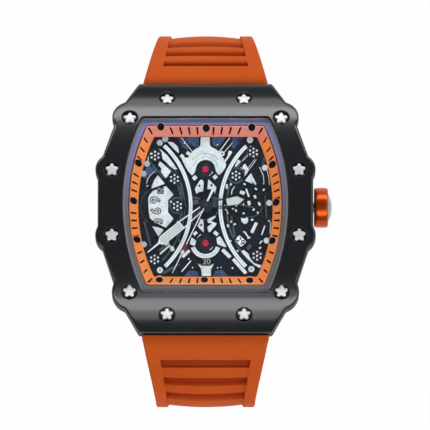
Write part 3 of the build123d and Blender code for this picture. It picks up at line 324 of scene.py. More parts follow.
STUD_GREY = Finish("stud_grey", "relief_white", "#b2bfc2", "#ccd7d8", 0.36, 0.06, 0.15, 0.004, coat=0.15,
                   coat_roughness=0.15, wear_size=1.0)
LINE_GREY = Finish("fine_line_grey", "relief_white", "#6a7779", "#828e90", 0.45, 0.05, 0.15, 0.002)
APPLIED_BRIGHT = Finish("applied_bright_white", "relief_white", "#eef4f1", "#fdfefd", 0.3, 0.05, 0.16, 0.003,
                        coat=0.2, wear_size=1.2)
OUTLINE_BLACK = Finish("outline_black", "dial_black", "#06090a", "#0c1112", 0.45, 0.08, 0.1, 0.002)
DIAL_GREY = Finish("dial_grey_metal", "dial_black", "#344346", "#6b7d84", 0.34, 0.08, 0.3, 0.006, metallic=0.3,
                   wear_size=2.0)
# Navy panel colour, partly the dial's own and partly a painted reflection of the crystal's violet coating at the
# top.
DIAL_NAVY = Finish("dial_navy_panel", "dial_black", "#26375a", "#5b7396", 0.32, 0.06, 0.5, 0.004, metallic=0.15,
                   wear_size=2.5)
SETTING_DARK = Finish("setting_dark_metal", "setting_dark", "#20272a", "#39444a", 0.3, 0.06, 0.2, 0.004,
                      metallic=0.5, wear_size=1.5)
RUBY = Finish("ruby", "ruby", "#c2103a", "#e0305a", 0.1, 0.03, 0.4, 0.001, coat=0.8, coat_roughness=0.03,
              wear_size=1.0, level=0.8)
MARK_BLUE_BLACK = Finish("blue_black_marks", "mark_black", "#05060f", "#0a0b19", 0.5, 0.05, 0.1, 0.001,
                         level=0.1)
# Painted highlight colour for the narrow rings round the hour dots.
MARK_HIGHLIGHT_RING = Finish("painted_highlight_mark_ring", "mark_black", "#f0a27a", "#f3ad88", 0.4, 0.05, 0.1, 0.001)
HAND_LUME = Finish("hand_lume", "hand_white", "#c6d1c6", "#dbe4da", 0.5, 0.06, 0.12, 0.006, wear_size=1.5)
HAND_WHITE = Finish("hand_white_enamel", "hand_white", "#f3f5f5", "#ffffff", 0.28, 0.05, 0.1, 0.001, coat=0.3,
                    coat_roughness=0.08)
HAND_DARK = Finish("hand_dark_steel", "hand_white", "#2a2f31", "#474e50", 0.34, 0.05, 0.1, 0.001, metallic=0.4)
HAND_MAROON = Finish("seconds_maroon", "hand_white", "#641c33", "#86304a", 0.3, 0.05, 0.1, 0.001)
# Painted light: strong emission lights the date disc, which lies in shade under the dial window.
DATE_WHITE = Finish("date_disc_white", "date_white", "#e6e8e4", "#f4f5f1", 0.42, 0.06, 0.1, 0.002, painted_glow=0.95)
DATE_INK = Finish("date_ink", "date_white", "#121314", "#1d1f20", 0.5, 0.06, 0.1, 0.001)


@dataclass(frozen=True)
class RubberFinish(Look):
    """Matt orange rubber, with painted shade in a deeper colour down in its grooves and its sunk middle."""

    name: str = "orange_strap_rubber"
    slot: str = "strap_rubber"
    colour: str = "#c8561a"
    second: str = "#bf4d13"
    # deep is a painted shade colour for the grooves and the sunk middle.
    deep: str = "#952a00"

    def shader(self, paint: Paint) -> Wire:
        """Fine moulded grain and wide soft patches; a point attribute blends in the deep colour as painted shade.

        Args:
            paint: The tree under construction.

        Returns:
            The shader.
        """
        fine = paint.noise(0.16)
        wide = paint.noise(14.0, 2.0)
        painted_light_mask = paint.node("Attribute", {"attribute_name": "painted_light_mask"}, output="Fac")
        body = paint.mix((fine * 0.5 + wide * 0.5).ramp(0.3, 0.7), tint(self.colour), tint(self.second))
        return paint.surface(
            Base_Color=paint.mix(painted_light_mask * 0.85, body, tint(self.deep)), Roughness=(fine - 0.5) * 0.1 + 0.66,
            Specular_IOR_Level=0.12, Normal=paint.bump(fine, 0.006))


RUBBER = RubberFinish()


@dataclass(frozen=True)
class RimFinish(Look):
    """Satin ring seen through the edge of the crystal, with a painted violet reflection at 12 o'clock fading to grey
    at 6, and a painted highlight line next to the bezel.
    """

    name: str = "satin_crystal_rim"
    slot: str = "seal"
    violet: str = "#8b88b4"
    grey: str = "#76726c"
    pale: str = "#9d9c97"

    def shader(self, paint: Paint) -> Wire:
        """Fine even grain over a blend that goes with y, which is a painted reflection, and a pale line next to the
        bezel, which is a painted highlight.

        Args:
            paint: The tree under construction.

        Returns:
            The shader.
        """
        _, y, _ = paint.axes()
        fine = paint.noise(0.12, 2.0)
        # Painted reflection: violet towards 12 o'clock stands in for the crystal coating reflecting a lamp.
        body = paint.mix(y.ramp(-6.0, 12.0), tint(self.grey), tint(self.violet))
        # Painted highlight: the marked outer part turns pale, standing in for the light line at the crystal's edge.
        edge = paint.node("Attribute", {"attribute_name": "painted_light_mask"}, output="Fac")
        body = paint.mix(edge, body, tint(self.pale))
        colour = paint.mix((fine - 0.5) * 0.6 + 0.15, body, tint("#5f5e6c"))
        return paint.surface(
            Base_Color=colour, Roughness=(fine - 0.5) * 0.2 + 0.5, Specular_IOR_Level=0.3,
            Normal=paint.bump(fine, 0.003))


@dataclass(frozen=True)
class FlangeFinish(Look):
    """Orange chapter ring, brushed square to its edge and warmer at its sides, with a painted pink reflection
    towards 12 o'clock and painted light from emission.
    """

    name: str = "brushed_orange_flange"
    slot: str = "flange_orange"
    bright: str = "#ffa25c"
    warm: str = "#ff9448"
    dark: str = "#f07c35"
    painted_rosy_reflection: str = "#e59180"

    def shader(self, paint: Paint) -> Wire:
        """Fine lines along Y at the two ends and along X at the two sides.

        The sides are where |y| is less than 1.32 |x| plus 3.4 mm, with a soft join; the lines
        are noise drawn out sixty times along them.

        Args:
            paint: The tree under construction.

        Returns:
            The shader.
        """
        x, y, _ = paint.axes()
        side = (abs(x) * 1.32 - abs(y) + 3.4).ramp(0.0, 0.3)
        across = paint.noise(0.13, 2.0, Grain.ALONG_X.value)
        along = paint.noise(0.13, 2.0, Grain.ALONG_Y.value)
        lines = along + (across - along) * side
        body = paint.mix(side, tint(self.bright), tint(self.warm))
        # Painted reflection: a pink tint towards 12 o'clock stands in for the crystal coating's reflection.
        body = paint.mix(y.ramp(12.4, 14.6), body, tint(self.painted_rosy_reflection))
        colour = paint.mix(lines.ramp(0.35, 0.7) * 0.55, body, tint(self.dark))
        # Painted light: emission of its own colour lifts the ring, which sits in the bezel's shade.
        return paint.surface(
            Base_Color=colour, Roughness=(lines - 0.5) * 0.3 + 0.42, Specular_IOR_Level=0.4,
            Emission_Color=colour, Emission_Strength=0.2, Normal=paint.bump(lines, 0.008))


@dataclass(frozen=True)
class DialFinish(Look):
    """Dark dial ground with overlapping round graining and bluish patches."""

    name: str = "dark_dial_ground"
    slot: str = "dial_black"
    dark: str = "#0e1517"
    mid: str = "#1c282b"
    blue: str = "#182436"

    def shader(self, paint: Paint) -> Wire:
        """Rings of graining are the sine of the distance to the nearest cell centre.

        Args:
            paint: The tree under construction.

        Returns:
            The shader.
        """
        cells = paint.node("TexVoronoi", {"feature": "F1"}, {"Vector": paint.place(), "Scale": 900.0}, "Distance")
        rings = (cells * 30.0).math("SINE")
        patch = paint.noise(2.2, 4.0)
        fine = paint.noise(0.45, 4.0)
        ground = paint.mix(fine.ramp(0.42, 0.62), tint(self.dark), tint(self.mid))
        colour = paint.mix(patch.ramp(0.48, 0.66), ground, tint(self.blue))
        return paint.surface(
            Base_Color=colour, Roughness=(fine - 0.5) * 0.3 + 0.4, Metallic=0.3,
            Normal=paint.bump(rings * 0.5 + fine, 0.01))


@dataclass(frozen=True)
class CrystalFinish(Look):
    """Clear domed crystal with a faint violet coating."""

    name: str = "coated_crystal"
    slot: str = "crystal"
    clear: str = "#fcfdff"
    sheen: str = "#dcdcf6"

    def shader(self, paint: Paint) -> Wire:
        """Clear straight through, and a mirror by 0.016 plus the fifth power of the slant.

        Args:
            paint: The tree under construction.

        Returns:
            The shader.
        """
        waves = paint.noise(9.0, 1.0)
        through = paint.node("BsdfTransparent", values={"Color": tint(self.clear)})
        mirror = paint.surface(Base_Color=tint(self.sheen), Metallic=1.0, Roughness=(waves - 0.5) * 0.02 + 0.03)
        facing = paint.node("LayerWeight", values={"Blend": 0.5}, output="Facing")
        share = facing ** 5.0 * 0.98 + 0.016
        return paint.node("MixShader", values={0: share, 1: through, 2: mirror})


# ---- meshes from arrays

def round_turn(count: int) -> Array:
    """Directions that go once round, in radians."""
    return np.linspace(0, 2 * np.pi, count, endpoint=False)


def rays(turn: Array) -> Array:
    """Unit directions in plan."""
    return np.stack((np.cos(turn), np.sin(turn)), axis=-1)


def meets(ray: Array, x: float, y: float, radius: float, side: int) -> tuple[Array, Array]:
    """Reach of each ray to a circle's far side (1) or near side (-1), and whether it meets it.

    Args:
        ray: Unit directions in plan.
        x: The circle's middle across.
        y: The circle's middle along.
        radius: The circle's radius.
        side: 1 for the far side, -1 for the near one.

    Returns:
        The reach along each ray, and where the ray meets the circle.
    """
    along = ray @ np.array((x, y))
    off = x * x + y * y - along ** 2
    reach = along + side * np.sqrt(np.maximum(radius ** 2 - off, 0))
    return reach, (off < radius ** 2) & (along > 0)


def at_height(plan: Array, height: float) -> Array:
    """Points in plan, all at one height."""
    return np.column_stack((plan, np.full(len(plan), height)))


def grid_faces(rows: int, columns: int, ring: bool = False) -> Array:
    """Quads of a grid of points stored row after row, each row going once round.

    Args:
        rows: Number of rows.
        columns: Number of points in a row.
        ring: Whether the last row joins the first.

    Returns:
        Four point numbers for each face, turning left from row to row.
    """
    row = np.arange(rows if ring else rows - 1)[:, None]
    column = np.arange(columns)[None, :]
    after = (column + 1) % columns
    below = (row + 1) % rows
    quads = np.stack((row * columns + column, row * columns + after,
                      below * columns + after, below * columns + column), axis=-1)
    return quads.reshape(-1, 4)


class Shell:
    """Points and faces gathered for one mesh."""

    def __init__(self) -> None:
        """Starts with nothing."""
        self.points: list[Array] = []
        self.faces: list[list[int]] = []
        self.count = 0

    def add(self, points: Array, faces: Any, caps: Sequence[Array] = ()) -> "Shell":
        """Adds points in millimetres with their faces and any many-sided caps.

        Args:
            points: Points in millimetres.
            faces: Rows of point numbers, counted from 0.
            caps: Point numbers round each flat end.

        Returns:
            The shell itself.
        """
        self.points.append(points.reshape(-1, 3))
        self.faces += (np.asarray(faces) + self.count).tolist() if len(faces) else []
        self.faces += [(np.asarray(cap) + self.count).tolist() for cap in caps]
        self.count += points.size // 3
        return self

    def grid(self, points: Array, ring: bool = False) -> "Shell":
        """Adds rows of points that each go once round.

        Args:
            points: Rows by columns by three numbers, in millimetres.
            ring: Whether the last row joins the first; if not, caps close both end rows.

        Returns:
            The shell itself.
        """
        rows, columns = points.shape[:2]
        once = np.arange(columns)
        caps = () if ring else (once[::-1], once + (rows - 1) * columns)
        return self.add(points, grid_faces(rows, columns, ring), caps)

    def turned(self, profile: Any, sides: int, origin: Any, axis: Any, ring: bool = False) -> "Shell":
        """Adds a profile of radius and height carried round an axis.

        A point at radius r and height h lies at origin + h axis + r (cos a u + sin a v), where
        u and v are square to the axis and a goes once round.

        Args:
            profile: Radius and height of each row, in millimetres.
            sides: Points round the axis.
            origin: Where height 0 is.
            axis: Direction of the axis.
            ring: Whether the last row joins the first; if not, caps close both end rows.

        Returns:
            The shell itself.
        """
        line = np.asarray(profile, float)[:, :, None, None]
        along = np.array(axis, float) / np.linalg.norm(axis)
        side = np.cross(UP if abs(along[2]) < 0.9 else ALONG_X, along)
        side /= np.linalg.norm(side)
        turn = round_turn(sides)
        spoke = np.cos(turn)[:, None] * side + np.sin(turn)[:, None] * np.cross(along, side)
        return self.grid(np.array(origin, float) + line[:, 1] * along + line[:, 0] * spoke[None], ring)

    def mesh(self, name: str, painted_light_mask: Array | None = None) -> Mesh:
        """The gathered surface as a mesh in metres, its doubled points merged.

        Args:
            name: The mesh's name.
            painted_light_mask: How deep each point lies in a groove, or its share of a line, kept as an
                attribute; it paints shade into the strap's grooves and a highlight line on the rim.

        Returns:
            The mesh, its faces turned outwards.
        """
        mesh = bpy.data.meshes.new(name)
        mesh.from_pydata((np.concatenate(self.points) * MM).tolist(), [], self.faces)
        if painted_light_mask is not None:
            mesh.attributes.new("painted_light_mask", "FLOAT", "POINT").data.foreach_set("value", painted_light_mask)
        return tidy(mesh)


def turned_set(name: str, profile: Any, sides: int, seats: Any, ring: bool = False) -> Mesh:
    """A mesh of one turned profile at each seat, a seat being an origin and an axis.

    Args:
        name: Name of the mesh.
        profile: Points of radius and height.
        sides: Number of points round.
        seats: Origins and axes.
        ring: Whether the profile closes on itself.

    Returns:
        All turned bodies in one mesh.
    """
    shell = Shell()
    for origin, axis in seats:
        shell.turned(profile, sides, origin, axis, ring)
    return shell.mesh(name)


def tidy(mesh: Mesh) -> Mesh:
    """Merges points within a thousandth of a millimetre and turns every face outwards.

    Args:
        mesh: The mesh, changed in place.

    Returns:
        The same mesh.
    """
    work = bmesh.new()
    work.from_mesh(mesh)
    bmesh.ops.remove_doubles(work, verts=work.verts, dist=0.001 * MM)
    bmesh.ops.recalc_face_normals(work, faces=work.faces)
    work.to_mesh(mesh)
    work.free()
    return mesh


def points_of(mesh: Mesh) -> Array:
    """The mesh's points as an array, in metres.

    Args:
        mesh: The mesh to read.

    Returns:
        One row of x, y and z for each point.
    """
    flat = np.empty(len(mesh.vertices) * 3)
    mesh.vertices.foreach_get("co", flat)
    return flat.reshape(-1, 3)


def placed(name: str, data: Any) -> bpy.types.Object:
    """A new object of this name, put into the scene.

    Args:
        name: The object's name.
        data: Its mesh, lamp or camera.

    Returns:
        The object.
    """
    made = bpy.data.objects.new(name, data)
    bpy.context.scene.collection.objects.link(made)
    return made


def baked(made: bpy.types.Object) -> Mesh:
    """An object's own mesh as its modifiers leave it."""
    bpy.context.view_layer.update()
    return bpy.data.meshes.new_from_object(made.evaluated_get(bpy.context.evaluated_depsgraph_get()))


def piece(name: str, mesh: Mesh, finish: Look, body: str, replaces: Sequence[str] = (),
          smooth: float = 32.0, bevel: float = 0.0) -> bpy.types.Object:
    """Puts a mesh into the scene as one named piece of the watch.

    Args:
        name: The piece's name.
        mesh: Its mesh, in place and in metres.
        finish: What gives its material.
        body: The CAD body that it moves with.
        replaces: The CAD nodes that it stands for.
        smooth: Angle in degrees above which an edge stays sharp.
        bevel: Width of a live bevel in millimetres, or 0 for none.

    Returns:
        The object.
    """
    mesh.shade_smooth()
    mesh.set_sharp_from_angle(angle=math.radians(smooth))
    mesh.materials.clear()
    mesh.materials.append(finish.material())
    made = placed(name, mesh)
    if bevel > 0:
        edge = made.modifiers.new("edge", "BEVEL")
        edge.width = bevel * MM
        edge.segments = 2
        edge.limit_method = "ANGLE"
        edge.angle_limit = math.radians(40)
        edge.use_clamp_overlap = True
    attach(made, body)
    if replaces:
        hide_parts(*replaces)
    log.info("piece %s: %d faces on %s", name, len(mesh.polygons), body)
    return made


def recut(node: str, finish: Look, body: str, bevel: float = 0.0, smooth: float = 32.0) -> None:
    """Puts in a merged copy of a CAD node with a finish, named after the node.

    Args:
        node: The CAD node that is copied and replaced.
        finish: What gives its material.
        body: The CAD body that it moves with.
        bevel: Edge width in millimetres.
        smooth: Angle in degrees above which an edge stays sharp.
    """
    mesh = tidy(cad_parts[node].data.copy())
    piece(node + "_dressed", mesh, finish, body, (node,), smooth, bevel)


def keep(node: str, finish: Look) -> None:
    """Gives a CAD node, kept as it is, a finish in its own material slots.

    Args:
        node: Name of the CAD node.
        finish: Its look.
    """
    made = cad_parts[node]
    for slot in made.material_slots:
        slot.material = finish.material()
    if not made.material_slots:
        made.data.materials.append(finish.material())
    log.info("node %s: %s", node, finish.name)


def cut(mesh: Mesh, cutter: Mesh, name: str) -> Mesh:
    """One mesh less another, worked out exactly.

    Args:
        mesh: The mesh that is cut.
        cutter: What is taken away.
        name: Name of the result.

    Returns:
        A new mesh.
    """
    body, tool = placed(name, mesh), placed(name + "_tool", cutter)
    step = body.modifiers.new("cut", "BOOLEAN")
    step.operation = "DIFFERENCE"
    step.solver = "EXACT"
    step.object = tool
    done = baked(body)
    for made in (body, tool):
        bpy.data.objects.remove(made)
    return done


def rounded(profile: Sequence[tuple[float, float, float]], steps: int) -> Array:
    """A profile with its corners rounded.

    Args:
        profile: Across, up and corner radius of each point.
        steps: Points on each rounded corner.

    Returns:
        Points where each corner is replaced by a quadratic curve that starts and ends its
        radius away along the two sides.
    """
    line = np.array([point[:2] for point in profile], float)
    found = [line[:1]]
    share = np.linspace(0, 1, steps)[:, None]
    for before, (x, y, radius), after in zip(line[:-2], profile[1:-1], line[2:]):
        here = np.array((x, y))
        if radius <= 0:
            found.append(here[None, :])
            continue
        back = before - here
        ahead = after - here
        start = here + back / np.linalg.norm(back) * radius
        end = here + ahead / np.linalg.norm(ahead) * radius
        found.append((1 - share) ** 2 * start + 2 * share * (1 - share) * here + share ** 2 * end)
    found.append(line[-1:])
    return np.concatenate(found)


# ---- the case's own curves

@dataclass(frozen=True)
class CaseCurves:
    """The lines that every layer of the case shares, in millimetres."""

    half_width: float = 21.45
    half_length: float = 25.45
    top_arc: float = 55.0
    top_limit: float = 17.51
    end_arc: float = 25.0
    corner_lobe: tuple[float, float, float] = (15.14, 17.69, 3.5)
    mid_lobe: tuple[float, float, float] = (18.66, 6.67, 3.28)
    end_screw: Pair = (7.68, 22.06)
    crystal_side: float = 16.5
    crystal_end: float = 17.76
    corner_share: float = 0.766

    def slope(self, y: Array) -> Array:
        """Angle of the case top at y: asin(|y| / R) on the middle arc, then on the end arc.

        Args:
            y: Distance along the watch from its middle.

        Returns:
            The angles in radians.
        """
        reach = np.abs(y)
        turn = np.minimum(reach, self.top_limit) / self.top_arc
        return np.arcsin(turn + np.maximum(reach - self.top_limit, 0) / self.end_arc)

    def drop(self, y: Array) -> Array:
        """Fall of the case top at y: R (1 - cos angle), with the end arc joined on.

        Args:
            y: Distance along the watch from its middle.

        Returns:
            The falls in millimetres.
        """
        angle = self.slope(y)
        turn = math.asin(self.top_limit / self.top_arc)
        far = self.top_arc * (1 - math.cos(turn)) + self.end_arc * (math.cos(turn) - np.cos(angle))
        return np.where(np.abs(y) <= self.top_limit, self.top_arc * (1 - np.cos(angle)), far)

    def outline(self, turn: Array) -> Array:
        """Outline of the case from above at each direction turn.

        It is the farthest point, along the ray, of a polygon and of the lobes round the side
        screws, smoothed over a few neighbours so that the lobes run into the sides.

        Args:
            turn: Directions in radians.

        Returns:
            Points in plan.
        """
        quarter = np.array([(0.62, 1.0), (0.751, 0.825), (0.82, 0.707), (0.844, 0.644),
                            (0.951, 0.381), (0.974, 0.275), (1.0, 0.185)])
        quarter = quarter * (self.half_width, self.half_length)
        start = np.concatenate((quarter, quarter[::-1] * (1, -1), -quarter, quarter[::-1] * (-1, 1)))
        edge = np.roll(start, -1, axis=0) - start
        ray = rays(turn)
        cross = ray[:, None, 0] * edge[None, :, 1] - ray[:, None, 1] * edge[None, :, 0]
        cross = np.where(np.abs(cross) < 1e-9, 1e-9, cross)
        reach = (start[:, 0] * edge[:, 1] - start[:, 1] * edge[:, 0]) / cross
        share = (start[None, :, 0] * ray[:, None, 1] - start[None, :, 1] * ray[:, None, 0]) / cross
        found = np.where((share >= -1e-6) & (share <= 1 + 1e-6) & (reach > 0), reach, 0).max(axis=1)
        for x, y, radius in (self.corner_lobe, self.mid_lobe):
            for centre in ((x, y), (-x, y), (-x, -y), (x, -y)):
                far, met = meets(ray, *centre, radius, 1)
                found = np.maximum(found, np.where(met, far, 0))
        span = 5
        weights = np.hanning(span + 2)[1:-1]
        padded = np.concatenate((found[-span:], found, found[:span]))
        found = np.convolve(padded, weights / weights.sum(), "same")[span:-span]
        return ray * found[:, None]

    def barrel(self, side: float, end: float, turn: Array, power: float = 110.0) -> Array:
        """Barrel outline of bowed sides and straight ends at each direction turn.

        The reach along a ray is the smaller of the reach to the end line and to the side arc
        through (share side, end) and (side, 0); the corner is rounded by blending the two
        reaches with a high power mean.

        Args:
            side: Reach at 3 and 9 o'clock.
            end: Reach at 12 and 6 o'clock.
            turn: Directions in radians.
            power: Sharpness of the corners.

        Returns:
            Points in plan.
        """
        ray = rays(turn)
        bow = side * (1 - self.corner_share)
        radius = (bow ** 2 + end ** 2) / (2 * bow)
        centre = side - radius
        across = np.abs(ray[:, 0])
        root = np.sqrt(np.maximum((across * centre) ** 2 + radius ** 2 - centre ** 2, 0))
        to_side = across * centre + root
        to_end = end / np.maximum(np.abs(ray[:, 1]), 1e-6)
        reach = (to_side ** -power + to_end ** -power) ** (-1 / power)
        return ray * reach[:, None]

    def on_top(self, plan: Array, below: float) -> Array:
        """Points in plan set below the case top."""
        high = CASE_TOP - self.drop(plan[..., 1]) - below
        return np.concatenate((plan, high[..., None]), axis=-1)

    def ring(self, name: str, rows: Sequence[tuple[Array, float]], marks: Array | None = None) -> Mesh:
        """A closed ring through rows of plan points and their depths below the case top."""
        points = np.stack([self.on_top(plan, below) for plan, below in rows])
        return Shell().grid(points, ring=True).mesh(name, marks)


CURVES = CaseCurves()


def outward(plan: Array) -> Array:
    """Outward unit direction at each point of a closed line that turns left.

    Args:
        plan: Points of the line.

    Returns:
        Unit directions in plan.
    """
    along = np.roll(plan, -1, axis=0) - np.roll(plan, 1, axis=0)
    normal = np.stack((along[:, 1], -along[:, 0]), axis=1)
    return normal / np.linalg.norm(normal, axis=1, keepdims=True)


def screw_seats() -> list[tuple[Array, Array]]:
    """Seat and outward axis of each of the twelve bezel screws.

    Returns:
        Pairs of a point on the case top and the axis there.
    """
    seats = []
    places = (CURVES.end_screw, CURVES.corner_lobe[:2], CURVES.mid_lobe[:2])
    for x, y in [(a * sx, b * sy) for a, b in places for sx in (1, -1) for sy in (1, -1)]:
        angle = float(CURVES.slope(np.array(y))) * (1 if y > 0 else -1)
        high = CASE_TOP - float(CURVES.drop(np.array(y)))
        seats.append((np.array((x, y, high)), np.array((0.0, math.sin(angle), math.cos(angle)))))
    return seats


@dataclass
class Case:
    """Bezel, its star screws, the band, the back and the seals."""

    thickness: float = 3.6
    edge_r: float = 0.5
    setback: float = 1.6
    seam: float = 0.1
    lip_width: float = 0.12
    lip_drop: float = 0.14
    foot: float = 0.15
    opening: Pair = (15.3, 16.2)
    rim_inner: Pair = (15.36, 16.26)
    rim_outer: Pair = (16.48, 17.74)
    recess_r: float = 1.62
    recess_depth: float = 1.1
    star_tip: float = 1.34
    star_valley: float = 0.86
    draft: float = 0.17
    draft_depth: float = 0.7
    head: float = 0.8
    screw_length: float = 5.0
    sides: int = 960

    def bezel_mesh(self) -> Mesh:
        """A ring of rows: over the top from the crystal to the edge, down, under and back up.

        Top rows lie between the barrel outline round the crystal and the case outline, the
        edge rows follow a quarter circle, and each row's height is the case top at its own y
        less the row's own depth.

        Returns:
            A mesh in metres, in the frame.
        """
        turn = round_turn(self.sides)
        outer = CURVES.outline(turn)
        away = outward(outer)
        inner = CURVES.barrel(CURVES.crystal_side + self.seam, CURVES.crystal_end + self.seam, turn)
        opening = CURVES.barrel(*self.opening, turn)
        rows = [(opening, self.thickness), (opening, self.setback), (inner, self.setback), (inner, self.lip_drop)]
        lip = inner * (1 + self.lip_width / np.linalg.norm(inner, axis=1, keepdims=True))
        flat = outer - away * self.edge_r
        for share in np.linspace(0, 1, 10):
            rows.append((lip + (flat - lip) * share, 0.0))
        for angle in np.linspace(0, np.pi / 2, 7)[1:]:
            rows.append((outer - away * self.edge_r * (1 - math.sin(angle)), self.edge_r * (1 - math.cos(angle))))
        rows += [(outer, self.thickness - self.foot), (outer - away * self.foot, self.thickness)]
        return CURVES.ring("bezel_top", rows)

    def flank_mesh(self) -> Mesh:
        """A thin dull black coat round the bezel's upright side, below its rounded edge.

        Returns:
            A mesh in metres, in the frame.
        """
        outer = CURVES.outline(round_turn(self.sides))
        away = outward(outer)
        upper, lower = self.edge_r * 0.9, self.thickness - 0.17
        rows = ((0.015, upper), (0.015, lower), (-0.1, lower), (-0.1, upper))
        return CURVES.ring("bezel_flank", [(outer + away * grow, below) for grow, below in rows])

    def recess_tool(self) -> Mesh:
        """Twelve round cutters with a small flare where they leave the surface.

        Returns:
            A mesh that is only used to cut.
        """
        low, radius = -self.recess_depth, self.recess_r
        flare = [(0.01, low), (radius, low), (radius, -0.16), (radius + 0.05, -0.06),
                 (radius + 0.16, 0.04), (radius + 0.5, 0.4), (0.01, 0.4)]
        return turned_set("recess_tool", flare, 48, screw_seats())

    def star_mesh(self) -> Mesh:
        """Twelve five-pointed heads on their shanks.

        The head's radius at angle a is the valley plus the rest times ((1 + cos 5a) / 2) to
        the power 0.85; each row shrinks it a little and sits higher, which rounds the top.

        Returns:
            A mesh in metres, in the frame.
        """
        turn = round_turn(60)
        star = self.star_valley + (self.star_tip - self.star_valley) * ((1 + np.cos(5 * turn)) / 2) ** 0.85
        floor = -self.recess_depth
        top = floor + self.head
        core, shank = np.full(60, 0.01), np.full(60, 0.68)
        rows = [(core, -self.screw_length), (shank, -self.screw_length), (shank, floor + 0.02),
                (star, floor + 0.02), (star, top - 0.2), (star - 0.03, top - 0.1), (star - 0.09, top - 0.03),
                (star - 0.18, top), (star * 0.5, top + 0.03), (core, top + 0.04)]
        shell = Shell()
        for seat, axis in screw_seats():
            spoke = np.sin(turn)[:, None] * ALONG_X + np.cos(turn)[:, None] * np.cross(axis, ALONG_X)
            shell.grid(np.stack([seat + axis * high + spoke * radius[:, None] for radius, high in rows]))
        return shell.mesh("star_screws")

    def shade_liners_mesh(self) -> Mesh:
        """Twelve thin dark cups that line the recesses, painted shade where the recesses lie in shadow.

        Returns:
            A mesh in metres, in the frame.
        """
        low, radius = -self.recess_depth, self.recess_r
        cup = [(0.01, low - 0.02), (radius - 0.01, low - 0.02), (radius - 0.01, -0.2),
               (radius - 0.07, -0.2), (radius - 0.08, low + 0.05), (0.01, low + 0.05)]
        return turned_set("recess_shade_liners", cup, 40, screw_seats())

    def rim_mesh(self) -> Mesh:
        """The flat ring under the crystal's edge, its outer third marked for the pale line, a painted highlight.

        Returns:
            A mesh in metres, in the frame.
        """
        turn = round_turn(640)
        inner, outer = CURVES.barrel(*self.rim_inner, turn), CURVES.barrel(*self.rim_outer, turn)
        rows = ((0.0, 1.59, 0.0), (0.0, 1.34, 0.0), (0.03, 1.31, 0.0), (0.62, 1.31, 0.0), (0.7, 1.31, 1.0),
                (1.0, 1.31, 1.0), (1.0, 1.59, 1.0))
        marks = np.repeat([mark for *_, mark in rows], len(turn))
        lines = [(inner + (outer - inner) * share, below) for share, below, _ in rows]
        return CURVES.ring("satin_rim", lines, marks)

    def drafted(self, node: str) -> Mesh:
        """Copy of a CAD node whose outer wall leans in below the bezel.

        Each point within the draft's depth of the case outline moves towards the middle, along
        its ray in plan, by the draft times its depth below the bezel's underside.

        Args:
            node: Name of the CAD node.

        Returns:
            A changed copy of its mesh.
        """
        mesh = tidy(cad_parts[node].data.copy())
        points = points_of(mesh) / MM
        turn = np.linspace(-np.pi, np.pi, 2880)
        far = np.linalg.norm(CURVES.outline(turn), axis=1)
        reach = np.linalg.norm(points[:, :2], axis=1)
        wall = np.interp(np.arctan2(points[:, 1], points[:, 0]), turn, far) - reach < self.draft_depth
        underside = CASE_TOP - CURVES.drop(np.clip(points[:, 1], -25.4, 25.4)) - self.thickness
        depth = np.maximum(underside - points[:, 2], 0)
        points[:, :2] *= (1 - wall * self.draft * depth / np.maximum(reach, 1))[:, None]
        mesh.vertices.foreach_set("co", (points * MM).ravel())
        mesh.update()
        return mesh

    def build(self) -> None:
        """Makes and dresses the case."""
        bezel = cut(self.bezel_mesh(), self.recess_tool(), "bezel_cut")
        piece("bezel_plate", bezel, BLACK_METAL, "watch", ("bezel",), smooth=34)
        piece("bezel_flank", self.flank_mesh(), BAND_METAL, "watch", smooth=40)
        piece("star_screws", self.star_mesh(), STAR_STEEL, "watch", ("bezel_screws",), smooth=50)
        # Painted shade: dark matte cups stand in for the shadow inside the screw recesses.
        piece("recess_shade_liners", self.shade_liners_mesh(), SEAL, "watch", smooth=40)
        piece("band_wall", self.drafted("case_band"), BAND_METAL, "watch", ("case_band",), bevel=0.12)
        piece("back_plate", self.drafted("case_back"), BACK_STEEL, "watch", ("case_back",), bevel=0.12)
        recut("case_back_screws", STAR_STEEL, "watch", bevel=0.05)
        piece("satin_rim", self.rim_mesh(), RimFinish(), "watch", ("crystal_gasket",), smooth=40)
        for node in ("bezel_gasket", "back_gasket", "crown_gasket"):
            keep(node, SEAL)


